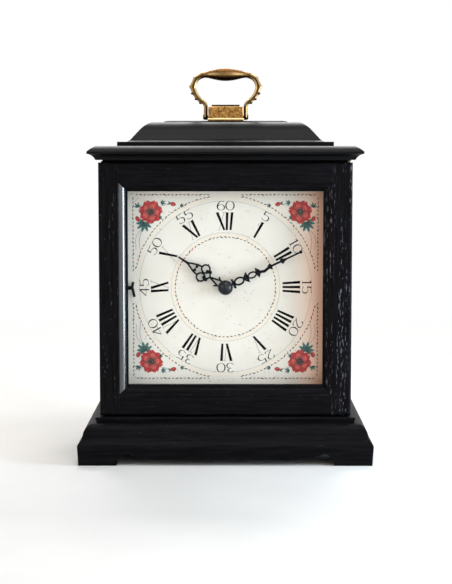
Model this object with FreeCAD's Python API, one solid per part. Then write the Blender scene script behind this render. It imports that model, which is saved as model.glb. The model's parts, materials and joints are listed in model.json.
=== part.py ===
import FreeCAD, Part
import math
import os

# A bell-top table clock with a carrying handle, in millimetres.
# The front looks along -Y, +X is the viewer's right, +Z is up.
# The origin is the middle of the footprint, on the surface that the clock stands on.

# Fits and clearances
running_clearance = 0.05
pivot_play = 0.04
loose_clearance = 0.3
panel_gap = 0.5

# Front door
door_width = 220.5
door_height = 221.2
door_thickness = 18.0
door_flat = 17.0
door_frame = 25.0
bottom_rail_extra = 1.2
door_edge_round = 2.0
door_swing_gap = 1.2
quirk = 0.7
ovolo_width = 5.5
ovolo_drop = 4.6
ovolo_bulge = 1.2
lip_front = 5.5
lip_back = 8.0
glass_rebate = 4.5
glass_thickness = 2.0
bead_width = 3.8
bead_height = 6.0
pivot_inset = 4.0
pivot_radius = 2.0
pivot_grip = 14.0
socket_depth = 5.0
socket_wall = 1.5
magnet_radius = 2.4
magnet_length = 9.0
magnet_drop = 23.0
keeper_thickness = 1.0

# Case
case_inset = 1.0
case_depth = 129.0
side_thickness = 11.0
top_plug_height = 8.0
neck_inset = 3.5
neck_setback = 5.0
neck_height = 1.0
plinth_lip = 3.6
plinth_thickness = 4.8
plinth_bead = 2.8
plinth_bead_round = 1.1
plinth_step = 0.8
housing_depth = 4.0

# Base
base_overhang = 14.9
base_back_overhang = 5.0
base_face = 17.6
base_ogee = 17.6
base_batter = 0.9
base_rail = 18.0
nose_round = 1.4
nose_inset = 1.0
nose_bulge = 0.28
cove_inset = 4.8
cove_height = 9.8
cove_sag = 0.7
round_inset = 7.2
round_bulge = 1.4
foot_width = 34.0
foot_arch = 10.6
foot_curve = 8.5
foot_curve_bulge = 2.4
apron_height = 5.0
apron_start = 40.0
apron_sag = 1.5
back_rail_lift = 10.0

# Cornice, bell and cap
cornice_overhang = 9.0
cornice_back_overhang = 2.0
cornice_height = 12.0
cornice_nose_low = 5.3
cornice_nose_high = 7.2
cornice_top_inset = 7.7
cornice_foot_inset = 7.0
cornice_cove_sag = 1.2
cornice_slope_bulge = 0.5
bell_inset = 24.5
bell_step = 3.8
bell_height = 17.6
bell_shelf = 7.4
bell_cove_inset = 12.2
bell_cove_height = 3.4
bell_cove_sag = 0.46
bell_slope_inset = 18.7
bell_slope_height = 10.8
bell_top_inset = 29.0
bell_round_bulge = 0.83
cap_width = 111.4
cap_depth = 34.0
cap_thickness = 1.5
cap_edge = 0.4
cap_bevel = 4.5
cap_bevel_bulge = 0.2

# Handle: each step of the block is (width, depth, height)
block_flange = (32.4, 20.0, 2.4)
block_body = (31.4, 17.5, 10.4)
block_top = (25.5, 13.0, 1.9)
block_round = 0.6
bail_pivot_height = 3.9
bail_eye_width = 2.8
bail_eye_gap = 0.5
bail_pin_radius = 1.3
bail_pin_grip = 6.0
bail_head_radius = 2.1
bail_head_length = 1.0
bow_height = 25.6
bow_inner = 10.0
bow_valley = 13.3
bow_cusp = 14.9
bow_cusps = 6
bow_cusp_step = 27.0
arm_depth = 5.6
grip_half = 21.5
grip_end_radius = 2.9
grip_radius = 5.8

# Dial and hands
dial_margin = 2.75
dial_thickness = 1.2
dial_behind_door = 4.0
dial_hole = 4.4
dial_foot_radius = 2.0
dial_foot_x = 46.0
dial_foot_z = 34.0
hour_hand_gap = 3.0
minute_hand_gap = 1.8
hand_thickness = 0.8
hand_stroke = 1.5
hand_hub = 5.0
hour_length = 49.7
hour_angle = 303.0
minute_length = 74.8
minute_angle = 64.6
nut_radius = 6.6
nut_height = 4.6
nut_thread = 3.0

# Hour hand: a reach is out from the hand's centre, a spread is sideways from its middle line
lyre_spread = 2.6
lyre_reach = 16.3
fin_reach = 7.2
fin_rise = 2.1
fin_spread = 4.3
knob_spread = 3.7
knob_reach = 18.6
knob_radius = 1.7
berry_spread = 3.1
berry_reach = 21.0
berry_radius = 1.5
hour_ring_spread = 4.2
hour_ring_reach = 23.4
hour_ring_radius = 4.4
hour_thorn = 0.9
hour_thorn_root = 1.6
hour_thorn_tip = 0.5
spade_spread = 3.7
spade_reach = 31.2
cross_dot_spread = 1.8
cross_dot_radius = 1.35
point_reach = 37.5
point_width = 2.4
point_tip = 1.4
spade_end_spread = 0.8
spade_end_reach = 38.6
hand_hairline = 0.9

# Minute hand: an oval is (reach, half length, half width, wall), a collar is (reach, half width, rise)
cross_reach = 8.0
cross_spread = 3.4
cross_width = 2.2
ovals = ((13.5, 5.0, 3.8, 1.6), (26.1, 4.4, 3.1, 1.4))
collars = ((20.3, 5.2, 1.6), (31.8, 4.9, -0.8), (43.4, 3.0, 0.8), (55.8, 3.0, -0.9))
collar_foot = 0.35
collar_top = 0.30
collar_half = 2.1
wave_spread = 1.6
wave_reach = 37.4
wave_width = 2.4
stem_width = 1.8
arrow_reach = 60.0
arrow_width = 3.2
shaft_width = 1.45
end_knob = 1.4

# Movement plates and seat
dial_gap = 10.0
plate_thickness = 2.0
plate_spacing = 38.0
plate_half_width = 56.0
plate_below = 58.0
plate_above = 48.0
pillar_radius = 4.0
pillar_inset = 8.0
pillar_stud = 2.0
pillar_nut_radius = 3.6
pillar_nut_height = 2.0
seat_thickness = 12.0
seat_rear_gap = 1.0
seat_front_gap = 3.0
seat_bolt_radius = 2.0
seat_bolt_head = 4.5
seat_bolt_head_height = 2.5

# Wheel work: shares are of one tooth pitch, heights are in modules
module = 0.6
tooth_share = 0.38
tooth_root_share = 0.50
tooth_tip_share = 0.14
tooth_addendum = 0.95
tooth_dedendum = 1.10
trundle_radius = 0.34
shroud_margin = 0.8
shroud_thickness = 0.7
wheel_thickness = 1.4
wheel_rim = 2.2
wheel_spokes = 5
spoke_width = 2.4
wheel_hub = 4.0
arbor_radius = 1.2
pivot_tip_radius = 0.8
end_shake = 0.4
pinion_overlap = 1.2
barrel_teeth = 72
barrel_x = 24.0
barrel_drop = 32.0
barrel_layer = 8.0
barrel_wheel_thickness = 2.5
drum_radius = 19.0
drum_wall = 1.2
drum_length = 23.5
second_pinion_teeth = 10
second_teeth = 60
centre_pinion_teeth = 12
centre_teeth = 64
third_pinion_teeth = 8
third_teeth = 60
third_angle = 127.0
escape_pinion_teeth = 8
escape_angle = 28.0
strike_pinion_teeth = 12
strike_teeth = 64
strike_angle = 118.0
fly_pinion_teeth = 8
fly_angle = 100.0
front_wheel_layer = 2.0
centre_wheel_layer = 34.9
third_wheel_layer = 27.0

# Motion work, between the front plate and the dial
motion_module = 0.5
cannon_teeth = 12
minute_wheel_teeth = 36
minute_pinion_teeth = 12
hour_wheel_teeth = 48
motion_angle = 215.0
motion_thickness = 1.4
minute_wheel_layer = -6.0
hour_wheel_layer = -8.6
motion_pinion_length = 3.2
motion_stud = 1.2
centre_front_radius = 2.2
centre_tip_radius = 1.2
hour_pipe_wall = 0.95

# Winding work
winder_radius = 2.5
winder_pivot = 1.6
winder_collar_radius = 4.0
winder_collar = 0.7
winder_square = 4.0
winder_square_length = 14.0
ratchet_teeth = 24
ratchet_radius = 9.0
ratchet_root = 7.8
ratchet_thickness = 2.2
ratchet_gap = 0.7
ratchet_lean = 0.1
click_pivot_reach = 6.0
click_nose_reach = 2.0
click_pivot_angle = 20.0
click_nose_angle = 65.0
click_width = 2.4
click_nose_width = 1.5
click_boss = 2.2
mainspring_hub = 8.5
mainspring_pitch = 1.3
mainspring_strip = 0.6
mainspring_turns = 6

# Escapement, behind the back plate
escape_layer = 42.0
escape_thickness = 1.2
escape_teeth = 30
escape_radius = 8.8
escape_root = 7.2
escape_lean = 0.3
lever_reach = 12.9
lever_angle = 165.0
lever_hub = 2.2
lever_stud = 0.9
lever_width = 1.4
pallet_spread = 50.0
pallet_reach = 1.8
lever_fork = 9.5
fork_depth = 1.0
fork_spread = 9.0
fork_width = 0.7
balance_reach = 15.0
balance_radius = 13.0
balance_rim = 2.0
balance_layer = 46.0
balance_thickness = 2.0
balance_hub = 2.4
balance_arm = 2.6
cock_layer = 52.5
cock_thickness = 2.5
cock_width = 6.0
cock_foot = 6.0
cock_foot_gap = 1.5
hairspring_layer = 49.4
hairspring_height = 1.0
hairspring_hub = 1.5
hairspring_pitch = 0.8
hairspring_strip = 0.25
hairspring_turns = 5

# Strike work
star_lobes = 8
star_radius = 6.0
star_root = 4.0
star_lean = 0.3
star_thickness = 1.6
star_layers = (44.2, 51.7)
hammer_width = 3.0
hammer_drop = 52.0
hammer_hub = 3.2
hammer_stud = 1.5
tail_gap = 0.5
tail_width = 1.6
hammer_head_inset = 18.25
hammer_head_radius = 3.5
hammer_head_height = 9.0
hammer_head_gap = 0.8
hammer_arm_width = 2.4
fly_radius = 8.0
fly_blade = 0.8
fly_sleeve = 1.9
fly_layers = (14.0, 25.0)
gong_block_gap = 1.5
gong_radius = 1.5
gong_left_gap = 8.0
gong_block_width = 18.0
gong_block_margin = 5.5
gong_block_height = 20.0
gong_grip = 8.0

# Silent lever
silent_pivot_x = 46.0
silent_stud = 1.5
silent_layer = -4.8
silent_thickness = 1.4
silent_width = 5.0
silent_side_gap = 4.0
silent_leg = 2.0
silent_stand_off = 2.0
silent_finger_inset = 5.3
silent_finger_up = 4.8
silent_finger_down = 8.6
silent_finger_lean = 2.2
silent_finger_width = 2.2

# Rear door
rear_thickness = 9.0
rear_slots = 9
rear_slot_width = 3.0
rear_slot_height = 60.0
rear_slot_pitch = 14.0
rear_slot_rise = 16.0
rear_knob_radius = 5.0
rear_knob_stem = 2.0
rear_knob_stand = 1.5
rear_knob_length = 4.6
rear_knob_round = 1.0
rear_knob_inset = 14.25
knuckle_radius = 1.9
knuckle_length = 7.0
knuckles = 3
hinge_pin_radius = 1.0
hinge_leaf = 1.1
hinge_leaf_reach = 10.0
hinge_inset = 30.0

# Levels up the clock
base_top = base_face + base_ogee
plinth_top = base_top + plinth_thickness
door_bottom = plinth_top + door_swing_gap
door_top = door_bottom + door_height
neck_bottom = door_top + door_swing_gap
neck_top = neck_bottom + neck_height
cornice_top = neck_top + cornice_height
bell_foot = cornice_top + bell_step
bell_summit = bell_foot + bell_height
cap_top = bell_summit + cap_thickness
handle_pivot_z = cap_top + bail_pivot_height
dial_z = door_bottom + (door_height + bottom_rail_extra) / 2
seat_top = dial_z - plate_below
gong_z = seat_top - seat_thickness - gong_block_gap - gong_block_height / 2

# Widths and depths
door_half = door_width / 2
case_half = door_half - case_inset
inner_half = case_half - side_thickness
plinth_half = door_half + plinth_lip
base_half = plinth_half + base_overhang
cornice_half = door_half + cornice_overhang
bell_half = cornice_half - bell_inset
base_depth = (base_overhang + plinth_lip + door_thickness + panel_gap
              + case_depth + base_back_overhang)
base_front_y = -base_depth / 2
base_back_y = base_depth / 2
plinth_front_y = base_front_y + base_overhang
door_front_y = plinth_front_y + plinth_lip
door_back_y = door_front_y + door_thickness
case_front_y = door_back_y + panel_gap
case_back_y = case_front_y + case_depth
cornice_front_y = door_front_y - cornice_overhang
cornice_back_y = case_back_y + cornice_back_overhang
bell_front_y = cornice_front_y + bell_inset
bell_back_y = cornice_back_y - bell_inset
bell_y = (bell_front_y + bell_back_y) / 2
dial_half_width = door_half - door_frame + dial_margin
dial_half_height = (door_height - bottom_rail_extra) / 2 - door_frame + dial_margin
dial_front_y = door_back_y + dial_behind_door
dial_back_y = dial_front_y + dial_thickness
plate_y = dial_back_y + dial_gap + plate_thickness
rear_face = plate_spacing + plate_thickness
rear_front_y = case_back_y - rear_thickness
pivot_x = door_half - pivot_inset
pivot_y = door_back_y - pivot_inset
magnet_x = -(inner_half + side_thickness / 2)
magnet_z = door_top - magnet_drop
hammer_head_x = inner_half - hammer_head_inset
rear_knob_x = inner_half - rear_knob_inset
rear_hinge_x = -inner_half
rear_hinge_y = case_back_y + knuckle_radius
bail_eye_inner = block_flange[0] / 2 + bail_eye_gap
bail_eye_outer = bail_eye_inner + bail_eye_width
bail_x = (bail_eye_inner + bail_eye_outer) / 2
hour_back_y = dial_front_y - hour_hand_gap
hour_front_y = hour_back_y - hand_thickness
minute_back_y = hour_front_y - minute_hand_gap
minute_front_y = minute_back_y - hand_thickness


# Helpers


def vec(x, y, z):
    return FreeCAD.Vector(x, y, z)


def box(x_range, y_range, z_range):
    """A box between two values on each axis."""
    low = [min(r) for r in (x_range, y_range, z_range)]
    size = [max(r) - min(r) for r in (x_range, y_range, z_range)]
    return Part.makeBox(*size, vec(*low))


def rod_x(y, z, radius, x0, x1):
    return Part.makeCylinder(radius, abs(x1 - x0), vec(min(x0, x1), y, z), vec(1, 0, 0))


def rod_y(place, radius, y0, y1):
    """A round bar along Y at a place (x, z)."""
    return Part.makeCylinder(radius, abs(y1 - y0), vec(place[0], min(y0, y1), place[1]), vec(0, 1, 0))


def rod_z(x, y, radius, z0, z1):
    return Part.makeCylinder(radius, abs(z1 - z0), vec(x, y, min(z0, z1)), vec(0, 0, 1))


def fuse(shapes):
    """Join solids into one and clear the seams between coplanar faces."""
    return shapes[0].multiFuse(list(shapes[1:])).removeSplitter()


def outline(place, start, *steps):
    """A closed wire. A step is a point, or a pair (middle, end) for an arc."""
    edges = []
    here = start
    for step in list(steps) + [start]:
        if isinstance(step[0], tuple):
            middle, end = step
            edges.append(Part.Arc(place(*here), place(*middle), place(*end)).toShape())
        elif step != here:
            end = step
            edges.append(Part.LineSegment(place(*here), place(*end)).toShape())
        here = end
    return Part.Wire(edges)


def bowed(start, end, sag):
    """An arc step from start to end whose middle stands off the chord, to its left, by sag."""
    run = (end[0] - start[0], end[1] - start[1])
    length = math.hypot(*run)
    middle = ((start[0] + end[0]) / 2 - run[1] / length * sag,
              (start[1] + end[1]) / 2 + run[0] / length * sag)
    return (middle, end)


def quarter_sag(radius):
    """How far a quarter circle stands off its chord."""
    return radius * (1 - math.sqrt(0.5))


def prism(wires, direction):
    """The face that the wires bound, holes included, carried along a direction."""
    return Part.makeFace(wires, "Part::FaceMakerBullseye").extrude(direction)


def plane_xz(y):
    return lambda x, z: vec(x, y, z)


def plane_xy(z):
    return lambda x, y: vec(x, y, z)


def slab(y0, y1, start, *steps):
    """An outline in X and Z carried from y0 to y1."""
    return prism([outline(plane_xz(y0), start, *steps)], vec(0, y1 - y0, 0))


def bar(start, end, width, y0, y1, end_width=None):
    """A flat bar between two places (x, z), which may taper to another width."""
    run = (end[0] - start[0], end[1] - start[1])
    length = math.hypot(*run)
    side = (-run[1] / length / 2, run[0] / length / 2)
    far = width if end_width is None else end_width
    corners = [(start[0] + side[0] * width, start[1] + side[1] * width),
               (end[0] + side[0] * far, end[1] + side[1] * far),
               (end[0] - side[0] * far, end[1] - side[1] * far),
               (start[0] - side[0] * width, start[1] - side[1] * width)]
    return slab(y0, y1, *corners)


def polar(centre, radius, degrees):
    angle = math.radians(degrees)
    return (centre[0] + radius * math.cos(angle), centre[1] + radius * math.sin(angle))


def bearing(start, end):
    """Direction from one place to another, in degrees from +X towards +Z."""
    return math.degrees(math.atan2(end[1] - start[1], end[0] - start[0]))


def layer(distance):
    """Y of a level behind the front plate's inner face; in front of it the distance is negative."""
    return plate_y + distance


# Case


def ogee_section(place):
    """Section of a base rail: battered face, rounded nose, cove, then a round up to the plinth board."""
    face_end = (0.0, base_face - nose_round)
    nose_end = (nose_inset, base_face + nose_round)
    cove_end = (cove_inset, base_face + cove_height)
    round_end = (cove_inset + round_inset, base_top)
    return outline(place, (base_batter, 0.0), face_end, bowed(face_end, nose_end, nose_bulge),
                   bowed(nose_end, cove_end, -cove_sag), bowed(cove_end, round_end, round_bulge),
                   (base_rail, base_top), (base_rail, 0.0))


def foot_arch_cut(half_length, place, direction):
    """The shaped opening between the bracket feet of a rail of this half length."""
    foot = half_length - foot_width
    peak = (foot - foot_curve, foot_arch)
    flat = (foot - apron_start, apron_height)
    return prism([outline(place, (-foot, 0.0), bowed((-foot, 0.0), (-peak[0], peak[1]), foot_curve_bulge),
                          bowed((-peak[0], peak[1]), (-flat[0], flat[1]), -apron_sag), flat,
                          bowed(flat, peak, -apron_sag),
                          bowed(peak, (foot, 0.0), foot_curve_bulge))], direction)


def base_rails():
    """Front rail mitred to two side rails, with a plain back rail between them."""
    front = prism([ogee_section(lambda u, z: vec(-base_half, base_front_y + u, z))],
                  vec(2 * base_half, 0, 0))
    inner = base_half - base_rail
    mitre = prism([outline(plane_xy(0.0), (-base_half, base_front_y), (base_half, base_front_y),
                           (inner, base_front_y + base_rail), (-inner, base_front_y + base_rail))],
                  vec(0, 0, base_top))
    arch = foot_arch_cut(base_half, plane_xz(base_front_y), vec(0, base_rail, 0))
    rails = {"base_front_rail": front.common(mitre).cut(arch)}
    for name, sign in (("base_left_rail", -1), ("base_right_rail", 1)):
        side = prism([ogee_section(lambda u, z: vec(sign * (base_half - u), base_front_y, z))],
                     vec(0, base_depth, 0))
        side_arch = foot_arch_cut(base_depth / 2, lambda y, z: vec(sign * base_half, y, z),
                                  vec(-sign * base_rail, 0, 0))
        rails[name] = side.cut(mitre).cut(side_arch)
    rails["base_back_rail"] = box((-inner, inner), (base_back_y - base_rail, base_back_y),
                                  (back_rail_lift, base_top))
    return rails


def plinth_board():
    """Board on the base rails, its edge a bead over a small step."""
    back_y = case_back_y + plinth_lip
    step_top = plinth_top - plinth_bead
    bead = box((-plinth_half, plinth_half), (plinth_front_y, back_y), (step_top, plinth_top))
    level = [edge for edge in bead.Edges if edge.BoundBox.ZLength < edge.Length / 2]
    bead = bead.makeFillet(plinth_bead_round, level)
    half = plinth_half - plinth_step
    lower = box((-half, half), (plinth_front_y + plinth_step, back_y - plinth_step), (base_top, step_top))
    return fuse([lower, bead]).cut(socket_hole(plinth_top - socket_depth))


def socket_hole(bottom):
    """Hole for a door pivot's bush, upwards from this level."""
    return rod_z(pivot_x, pivot_y, pivot_radius + socket_wall, bottom, bottom + socket_depth)


def case_side(sign):
    """One side, with the housing that takes the seat board's end."""
    side = box((sign * inner_half, sign * case_half), (case_front_y, case_back_y),
               (plinth_top, neck_bottom))
    housing = box((sign * inner_half, sign * (inner_half + housing_depth)), seat_depth(),
                  (seat_top - seat_thickness, seat_top))
    side = side.cut(housing)
    return side.cut(door_magnet()) if sign < 0 else side


def seat_depth():
    return (dial_back_y + seat_front_gap, layer(rear_face + seat_rear_gap))


def seat_board():
    """Shelf that carries the movement, housed in both sides and bored for its bolts."""
    half = inner_half + housing_depth
    board = box((-half, half), seat_depth(), (seat_top - seat_thickness, seat_top))
    return board.cut(seat_bolts())


def case_top_board():
    """Board over the sides: its rim is the neck under the cornice, its plug fits between the sides."""
    half = door_half - neck_inset
    rim = box((-half, half), (door_front_y + neck_setback, case_back_y), (neck_bottom, neck_top))
    plug = box((-inner_half, inner_half), (case_front_y, rear_front_y - panel_gap),
               (neck_bottom - top_plug_height, neck_bottom))
    return fuse([rim, plug]).cut(socket_hole(neck_bottom))


def moulded_section(place, half, edge, both):
    """A section with a moulded edge at each end, or at the low end alone.

    The edge runs upwards as (inset, z, sag) with the sag of the line that reaches that point.
    """
    rising = [(inset - half, z) for inset, z, sag in edge]
    steps = []
    for index in range(1, len(edge)):
        sag = edge[index][2]
        steps.append(bowed(rising[index - 1], rising[index], sag) if sag else rising[index])
    if both:
        falling = [(-x, z) for x, z in reversed(rising)]
        steps.append(falling[0])
        for index in range(1, len(edge)):
            sag = edge[len(edge) - index][2]
            steps.append(bowed(falling[index - 1], falling[index], sag) if sag else falling[index])
    else:
        steps += [(half, edge[-1][1]), (half, edge[0][1])]
    return outline(place, rising[0], *steps)


def moulded_board(edge, half, front_y, back_y, back_moulded):
    """A board whose moulded edges meet in mitred corners."""
    centre = (front_y + back_y) / 2
    depth = back_y - front_y
    across = prism([moulded_section(plane_xz(front_y), half, edge, True)], vec(0, depth, 0))
    along = prism([moulded_section(lambda w, z: vec(-half, centre + w, z), depth / 2, edge, back_moulded)],
                  vec(2 * half, 0, 0))
    return across.common(along)


def cornice():
    """Cove, plain nose, then a slope back to the top. Its back edge is plain."""
    edge = [(cornice_foot_inset, neck_top, 0.0),
            (0.0, neck_top + cornice_nose_low, -cornice_cove_sag),
            (0.0, neck_top + cornice_nose_high, 0.0),
            (cornice_top_inset, cornice_top, cornice_slope_bulge)]
    board = moulded_board(edge, cornice_half, cornice_front_y, cornice_back_y, False)
    return board.cut(socket_hole(neck_bottom))


def bell_top():
    """Square step with a shelf, a small cove, a slope, then a round over to the flat top."""
    edge = [(0.0, cornice_top, 0.0), (0.0, bell_foot, 0.0), (bell_shelf, bell_foot, 0.0),
            (bell_cove_inset, bell_foot + bell_cove_height, -bell_cove_sag),
            (bell_slope_inset, bell_foot + bell_slope_height, 0.0),
            (bell_top_inset, bell_summit, bell_round_bulge)]
    return moulded_board(edge, bell_half, bell_front_y, bell_back_y, True)


def bell_cap():
    """Thin board on the bell that carries the handle block, its upper edges bevelled down to a thin rim."""
    edge = [(0.0, bell_summit, 0.0), (0.0, bell_summit + cap_edge, 0.0),
            (cap_bevel, cap_top, cap_bevel_bulge)]
    return moulded_board(edge, cap_width / 2, bell_y - cap_depth / 2, bell_y + cap_depth / 2, True)


# Front door


def door_section(place, extra=0.0):
    """Section of a door member, wider by an extra: u inwards from the outer edge, v back from the front."""
    flat = door_flat + extra
    frame = door_frame + extra
    ovolo_start = (flat + quirk, quirk)
    ovolo_end = (ovolo_start[0] + ovolo_width, ovolo_drop)
    rebate = frame - glass_rebate
    rear = (pivot_inset, door_thickness)
    flank = (0.0, door_thickness - pivot_inset)
    return outline(place, (door_edge_round, 0.0), (flat, 0.0), (flat, quirk), ovolo_start,
                   bowed(ovolo_start, ovolo_end, -ovolo_bulge), (ovolo_end[0], lip_front),
                   (frame, lip_front), (frame, lip_back), (rebate, lip_back),
                   (rebate, door_thickness), rear, bowed(rear, flank, -quarter_sag(pivot_inset)),
                   (0.0, door_edge_round),
                   bowed((0.0, door_edge_round), (door_edge_round, 0.0), -quarter_sag(door_edge_round)))


def rail_edge(sign):
    """The outer edge of the top or the bottom rail, and how much wider it is than a stile."""
    return (door_top, 0.0) if sign > 0 else (door_bottom, bottom_rail_extra)


def rail_room(sign):
    """The space a rail fills: square ends against the stiles, mitres where the mouldings meet."""
    edge_z, extra = rail_edge(sign)
    flat_x = door_half - door_flat
    sight_x = door_half - door_frame
    flat_z = edge_z - sign * (door_flat + extra)
    sight_z = edge_z - sign * (door_frame + extra)
    return slab(door_front_y, door_back_y, (-flat_x, edge_z), (flat_x, edge_z), (flat_x, flat_z),
                (sight_x, sight_z), (-sight_x, sight_z), (-flat_x, flat_z))


def stile_room():
    """The door's height with its front and back edges eased at the two ends."""
    front = door_edge_round
    rear = pivot_inset
    low = door_bottom
    high = door_top
    thick = door_thickness
    return prism([outline(lambda z, v: vec(-door_half, door_front_y + v, z),
                          (low + front, 0.0), (high - front, 0.0),
                          bowed((high - front, 0.0), (high, front), -quarter_sag(front)),
                          (high, thick - rear), bowed((high, thick - rear), (high - rear, thick),
                                                      -quarter_sag(rear)),
                          (low + rear, thick), bowed((low + rear, thick), (low, thick - rear),
                                                     -quarter_sag(rear)),
                          (low, front), bowed((low, front), (low + front, 0.0), -quarter_sag(front)))],
                 vec(door_width, 0, 0))


def door_stile(sign):
    """A full-height member at one side; the rails fit between the two."""
    blank = prism([door_section(lambda u, v: vec(sign * (door_half - u), door_front_y + v, door_bottom))],
                  vec(0, 0, door_height))
    stile = blank.common(stile_room()).cut(rail_room(1)).cut(rail_room(-1))
    return stile.cut(door_pivot_pins()) if sign > 0 else stile.cut(magnet_keeper())


def door_rail(sign):
    """The top or the bottom member between the stiles."""
    edge_z, extra = rail_edge(sign)
    blank = prism([door_section(lambda u, v: vec(-door_half, door_front_y + v, edge_z - sign * u), extra)],
                  vec(door_width, 0, 0))
    return blank.common(rail_room(sign))


def rebate_half():
    """Half width and half height of the rebate behind the door's lip."""
    inset = door_frame - glass_rebate
    return (door_half - inset, (door_height - bottom_rail_extra) / 2 - inset)


def door_glass():
    half_x, half_z = (half - loose_clearance for half in rebate_half())
    front = door_front_y + lip_back
    return box((-half_x, half_x), (front, front + glass_thickness), (dial_z - half_z, dial_z + half_z))


def glass_beads():
    """Four strips in the rebate that hold the glass against the lip."""
    half_x, half_z = rebate_half()
    front = door_front_y + lip_back + glass_thickness
    depth = (front, front + bead_height)
    strips = []
    for sign in (-1, 1):
        strips.append(box((-half_x, half_x), depth,
                          (dial_z + sign * half_z, dial_z + sign * (half_z - bead_width))))
        strips.append(box((sign * half_x, sign * (half_x - bead_width)), depth,
                          (dial_z - half_z + bead_width, dial_z + half_z - bead_width)))
    return Part.makeCompound(strips)


def door_pivot_pins():
    """Two pins on the door's hanging edge, which turn in bushes above and below."""
    reach = door_swing_gap + socket_depth - loose_clearance
    spans = ((door_bottom - reach, door_bottom + pivot_grip), (door_top - pivot_grip, door_top + reach))
    return Part.makeCompound([rod_z(pivot_x, pivot_y, pivot_radius, *span) for span in spans])


def pivot_sockets():
    """Bushes for the door's pins, in the plinth board and in the top board."""
    bushes = []
    for bottom in (plinth_top - socket_depth, neck_bottom):
        bore = rod_z(pivot_x, pivot_y, pivot_radius + running_clearance, bottom, bottom + socket_depth)
        bushes.append(socket_hole(bottom).cut(bore))
    return Part.makeCompound(bushes)


def door_magnet():
    """Round magnet let into the left side's front edge."""
    return rod_y((magnet_x, magnet_z), magnet_radius, case_front_y, case_front_y + magnet_length)


def magnet_keeper():
    """Steel disc in the door's back, facing the magnet."""
    return rod_y((magnet_x, magnet_z), magnet_radius, door_back_y - keeper_thickness, door_back_y)


# Handle


def block_step(size, bottom):
    """One step of the handle block, its upright and upper edges eased."""
    step = box((-size[0] / 2, size[0] / 2), (bell_y - size[1] / 2, bell_y + size[1] / 2),
               (bottom, bottom + size[2]))
    eased = [edge for edge in step.Edges if edge.BoundBox.ZMax > bottom + size[2] / 2]
    return step.makeFillet(block_round, eased)


def handle_block():
    """Stepped block on the cap, drilled at both ends for the handle's pivot screws."""
    bottom = cap_top
    steps = []
    for size in (block_flange, block_body, block_top):
        steps.append(block_step(size, bottom))
        bottom += size[2]
    return fuse(steps).cut(handle_pivots())


def handle_pivots():
    """Two headed screws on which the handle swings."""
    screws = []
    for sign in (-1, 1):
        inner = sign * (block_body[0] / 2 - bail_pin_grip)
        head = sign * (bail_eye_outer + running_clearance)
        shank = rod_x(bell_y, handle_pivot_z, bail_pin_radius, inner, head)
        cap = rod_x(bell_y, handle_pivot_z, bail_head_radius, head, head + sign * bail_head_length)
        screws.append(fuse([shank, cap]))
    return Part.makeCompound(screws)


def bail_bow(sign):
    """One scalloped bow: an inner arc, and an outer edge of cusps with hollows between them."""
    centre = (sign * bail_x, handle_pivot_z + bow_height)

    def at(radius, degrees):
        return polar(centre, radius, degrees if sign > 0 else 180.0 - degrees)

    first = -bow_cusp_step * (bow_cusps - 1) / 2
    steps = [at(bow_valley, -90.0), at(bow_cusp, first)]
    for index in range(bow_cusps - 1):
        start = first + index * bow_cusp_step
        steps.append((at(bow_valley, start + bow_cusp_step / 2), at(bow_cusp, start + bow_cusp_step)))
    steps += [at(bow_valley, 90.0), at(bow_inner, 90.0), (at(bow_inner, 0.0), at(bow_inner, -90.0))]
    return slab(bell_y - arm_depth / 2, bell_y + arm_depth / 2, *steps)


def handle_bail():
    """Swinging handle: two eyes and legs, two scalloped bows and a swelling grip."""
    eye_radius = arm_depth / 2
    grip_z = handle_pivot_z + bow_height + (bow_inner + bow_cusp) / 2
    grip = outline(lambda x, r: vec(x, bell_y, grip_z + r), (-grip_half, 0.0), (-grip_half, grip_end_radius),
                   ((0.0, grip_radius), (grip_half, grip_end_radius)), (grip_half, 0.0))
    pieces = [Part.Face(grip).revolve(vec(0, bell_y, grip_z), vec(1, 0, 0), 360)]
    for sign in (-1, 1):
        inner = sign * bail_eye_inner
        outer = sign * bail_eye_outer
        pieces.append(rod_x(bell_y, handle_pivot_z, eye_radius, inner, outer))
        pieces.append(box((inner, outer), (bell_y - eye_radius, bell_y + eye_radius),
                          (handle_pivot_z, handle_pivot_z + bow_height - bow_inner)))
        pieces.append(bail_bow(sign))
    bore = rod_x(bell_y, handle_pivot_z, bail_pin_radius + running_clearance, -bail_eye_outer, bail_eye_outer)
    return fuse(pieces).cut(bore)


# Dial and hands


centre_place = (0.0, dial_z)


def dial_plate():
    """Dial behind the door's opening, on four feet that stand on the movement's front plate."""
    plate = box((-dial_half_width, dial_half_width), (dial_front_y, dial_back_y),
                (dial_z - dial_half_height, dial_z + dial_half_height))
    foot_depth = (dial_back_y - dial_thickness / 2, layer(-plate_thickness))
    feet = [rod_y((x, dial_z + z), dial_foot_radius, *foot_depth)
            for x in (-dial_foot_x, dial_foot_x) for z in (-dial_foot_z, dial_foot_z)]
    return fuse([plate] + feet).cut(rod_y(centre_place, dial_hole, dial_front_y, dial_back_y))


def ring(place, outer, inner, y0, y1):
    return rod_y(place, outer, y0, y1).cut(rod_y(place, inner, y0, y1))


def oval_ring(place, half_length, half_width, wall, y0, y1):
    """A pierced oval, long along Z."""
    wires = []
    for inset in (0.0, wall):
        centre = vec(place[0], y0, place[1])
        top = centre + vec(0, 0, half_length - inset)
        side = centre + vec(half_width - inset, 0, 0)
        wires.append(Part.Wire(Part.Ellipse(top, side, centre).toShape()))
    return prism(wires, vec(0, y1 - y0, 0))


def turned(shape, degrees):
    """Turn a hand clockwise from twelve o'clock, as seen from the front."""
    return shape.rotate(vec(0, 0, dial_z), vec(0, 1, 0), degrees)


def at_hand(spread, reach):
    """A place on a hand that points to twelve: sideways from its middle line, and out from its centre."""
    return (spread, dial_z + reach)


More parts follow.
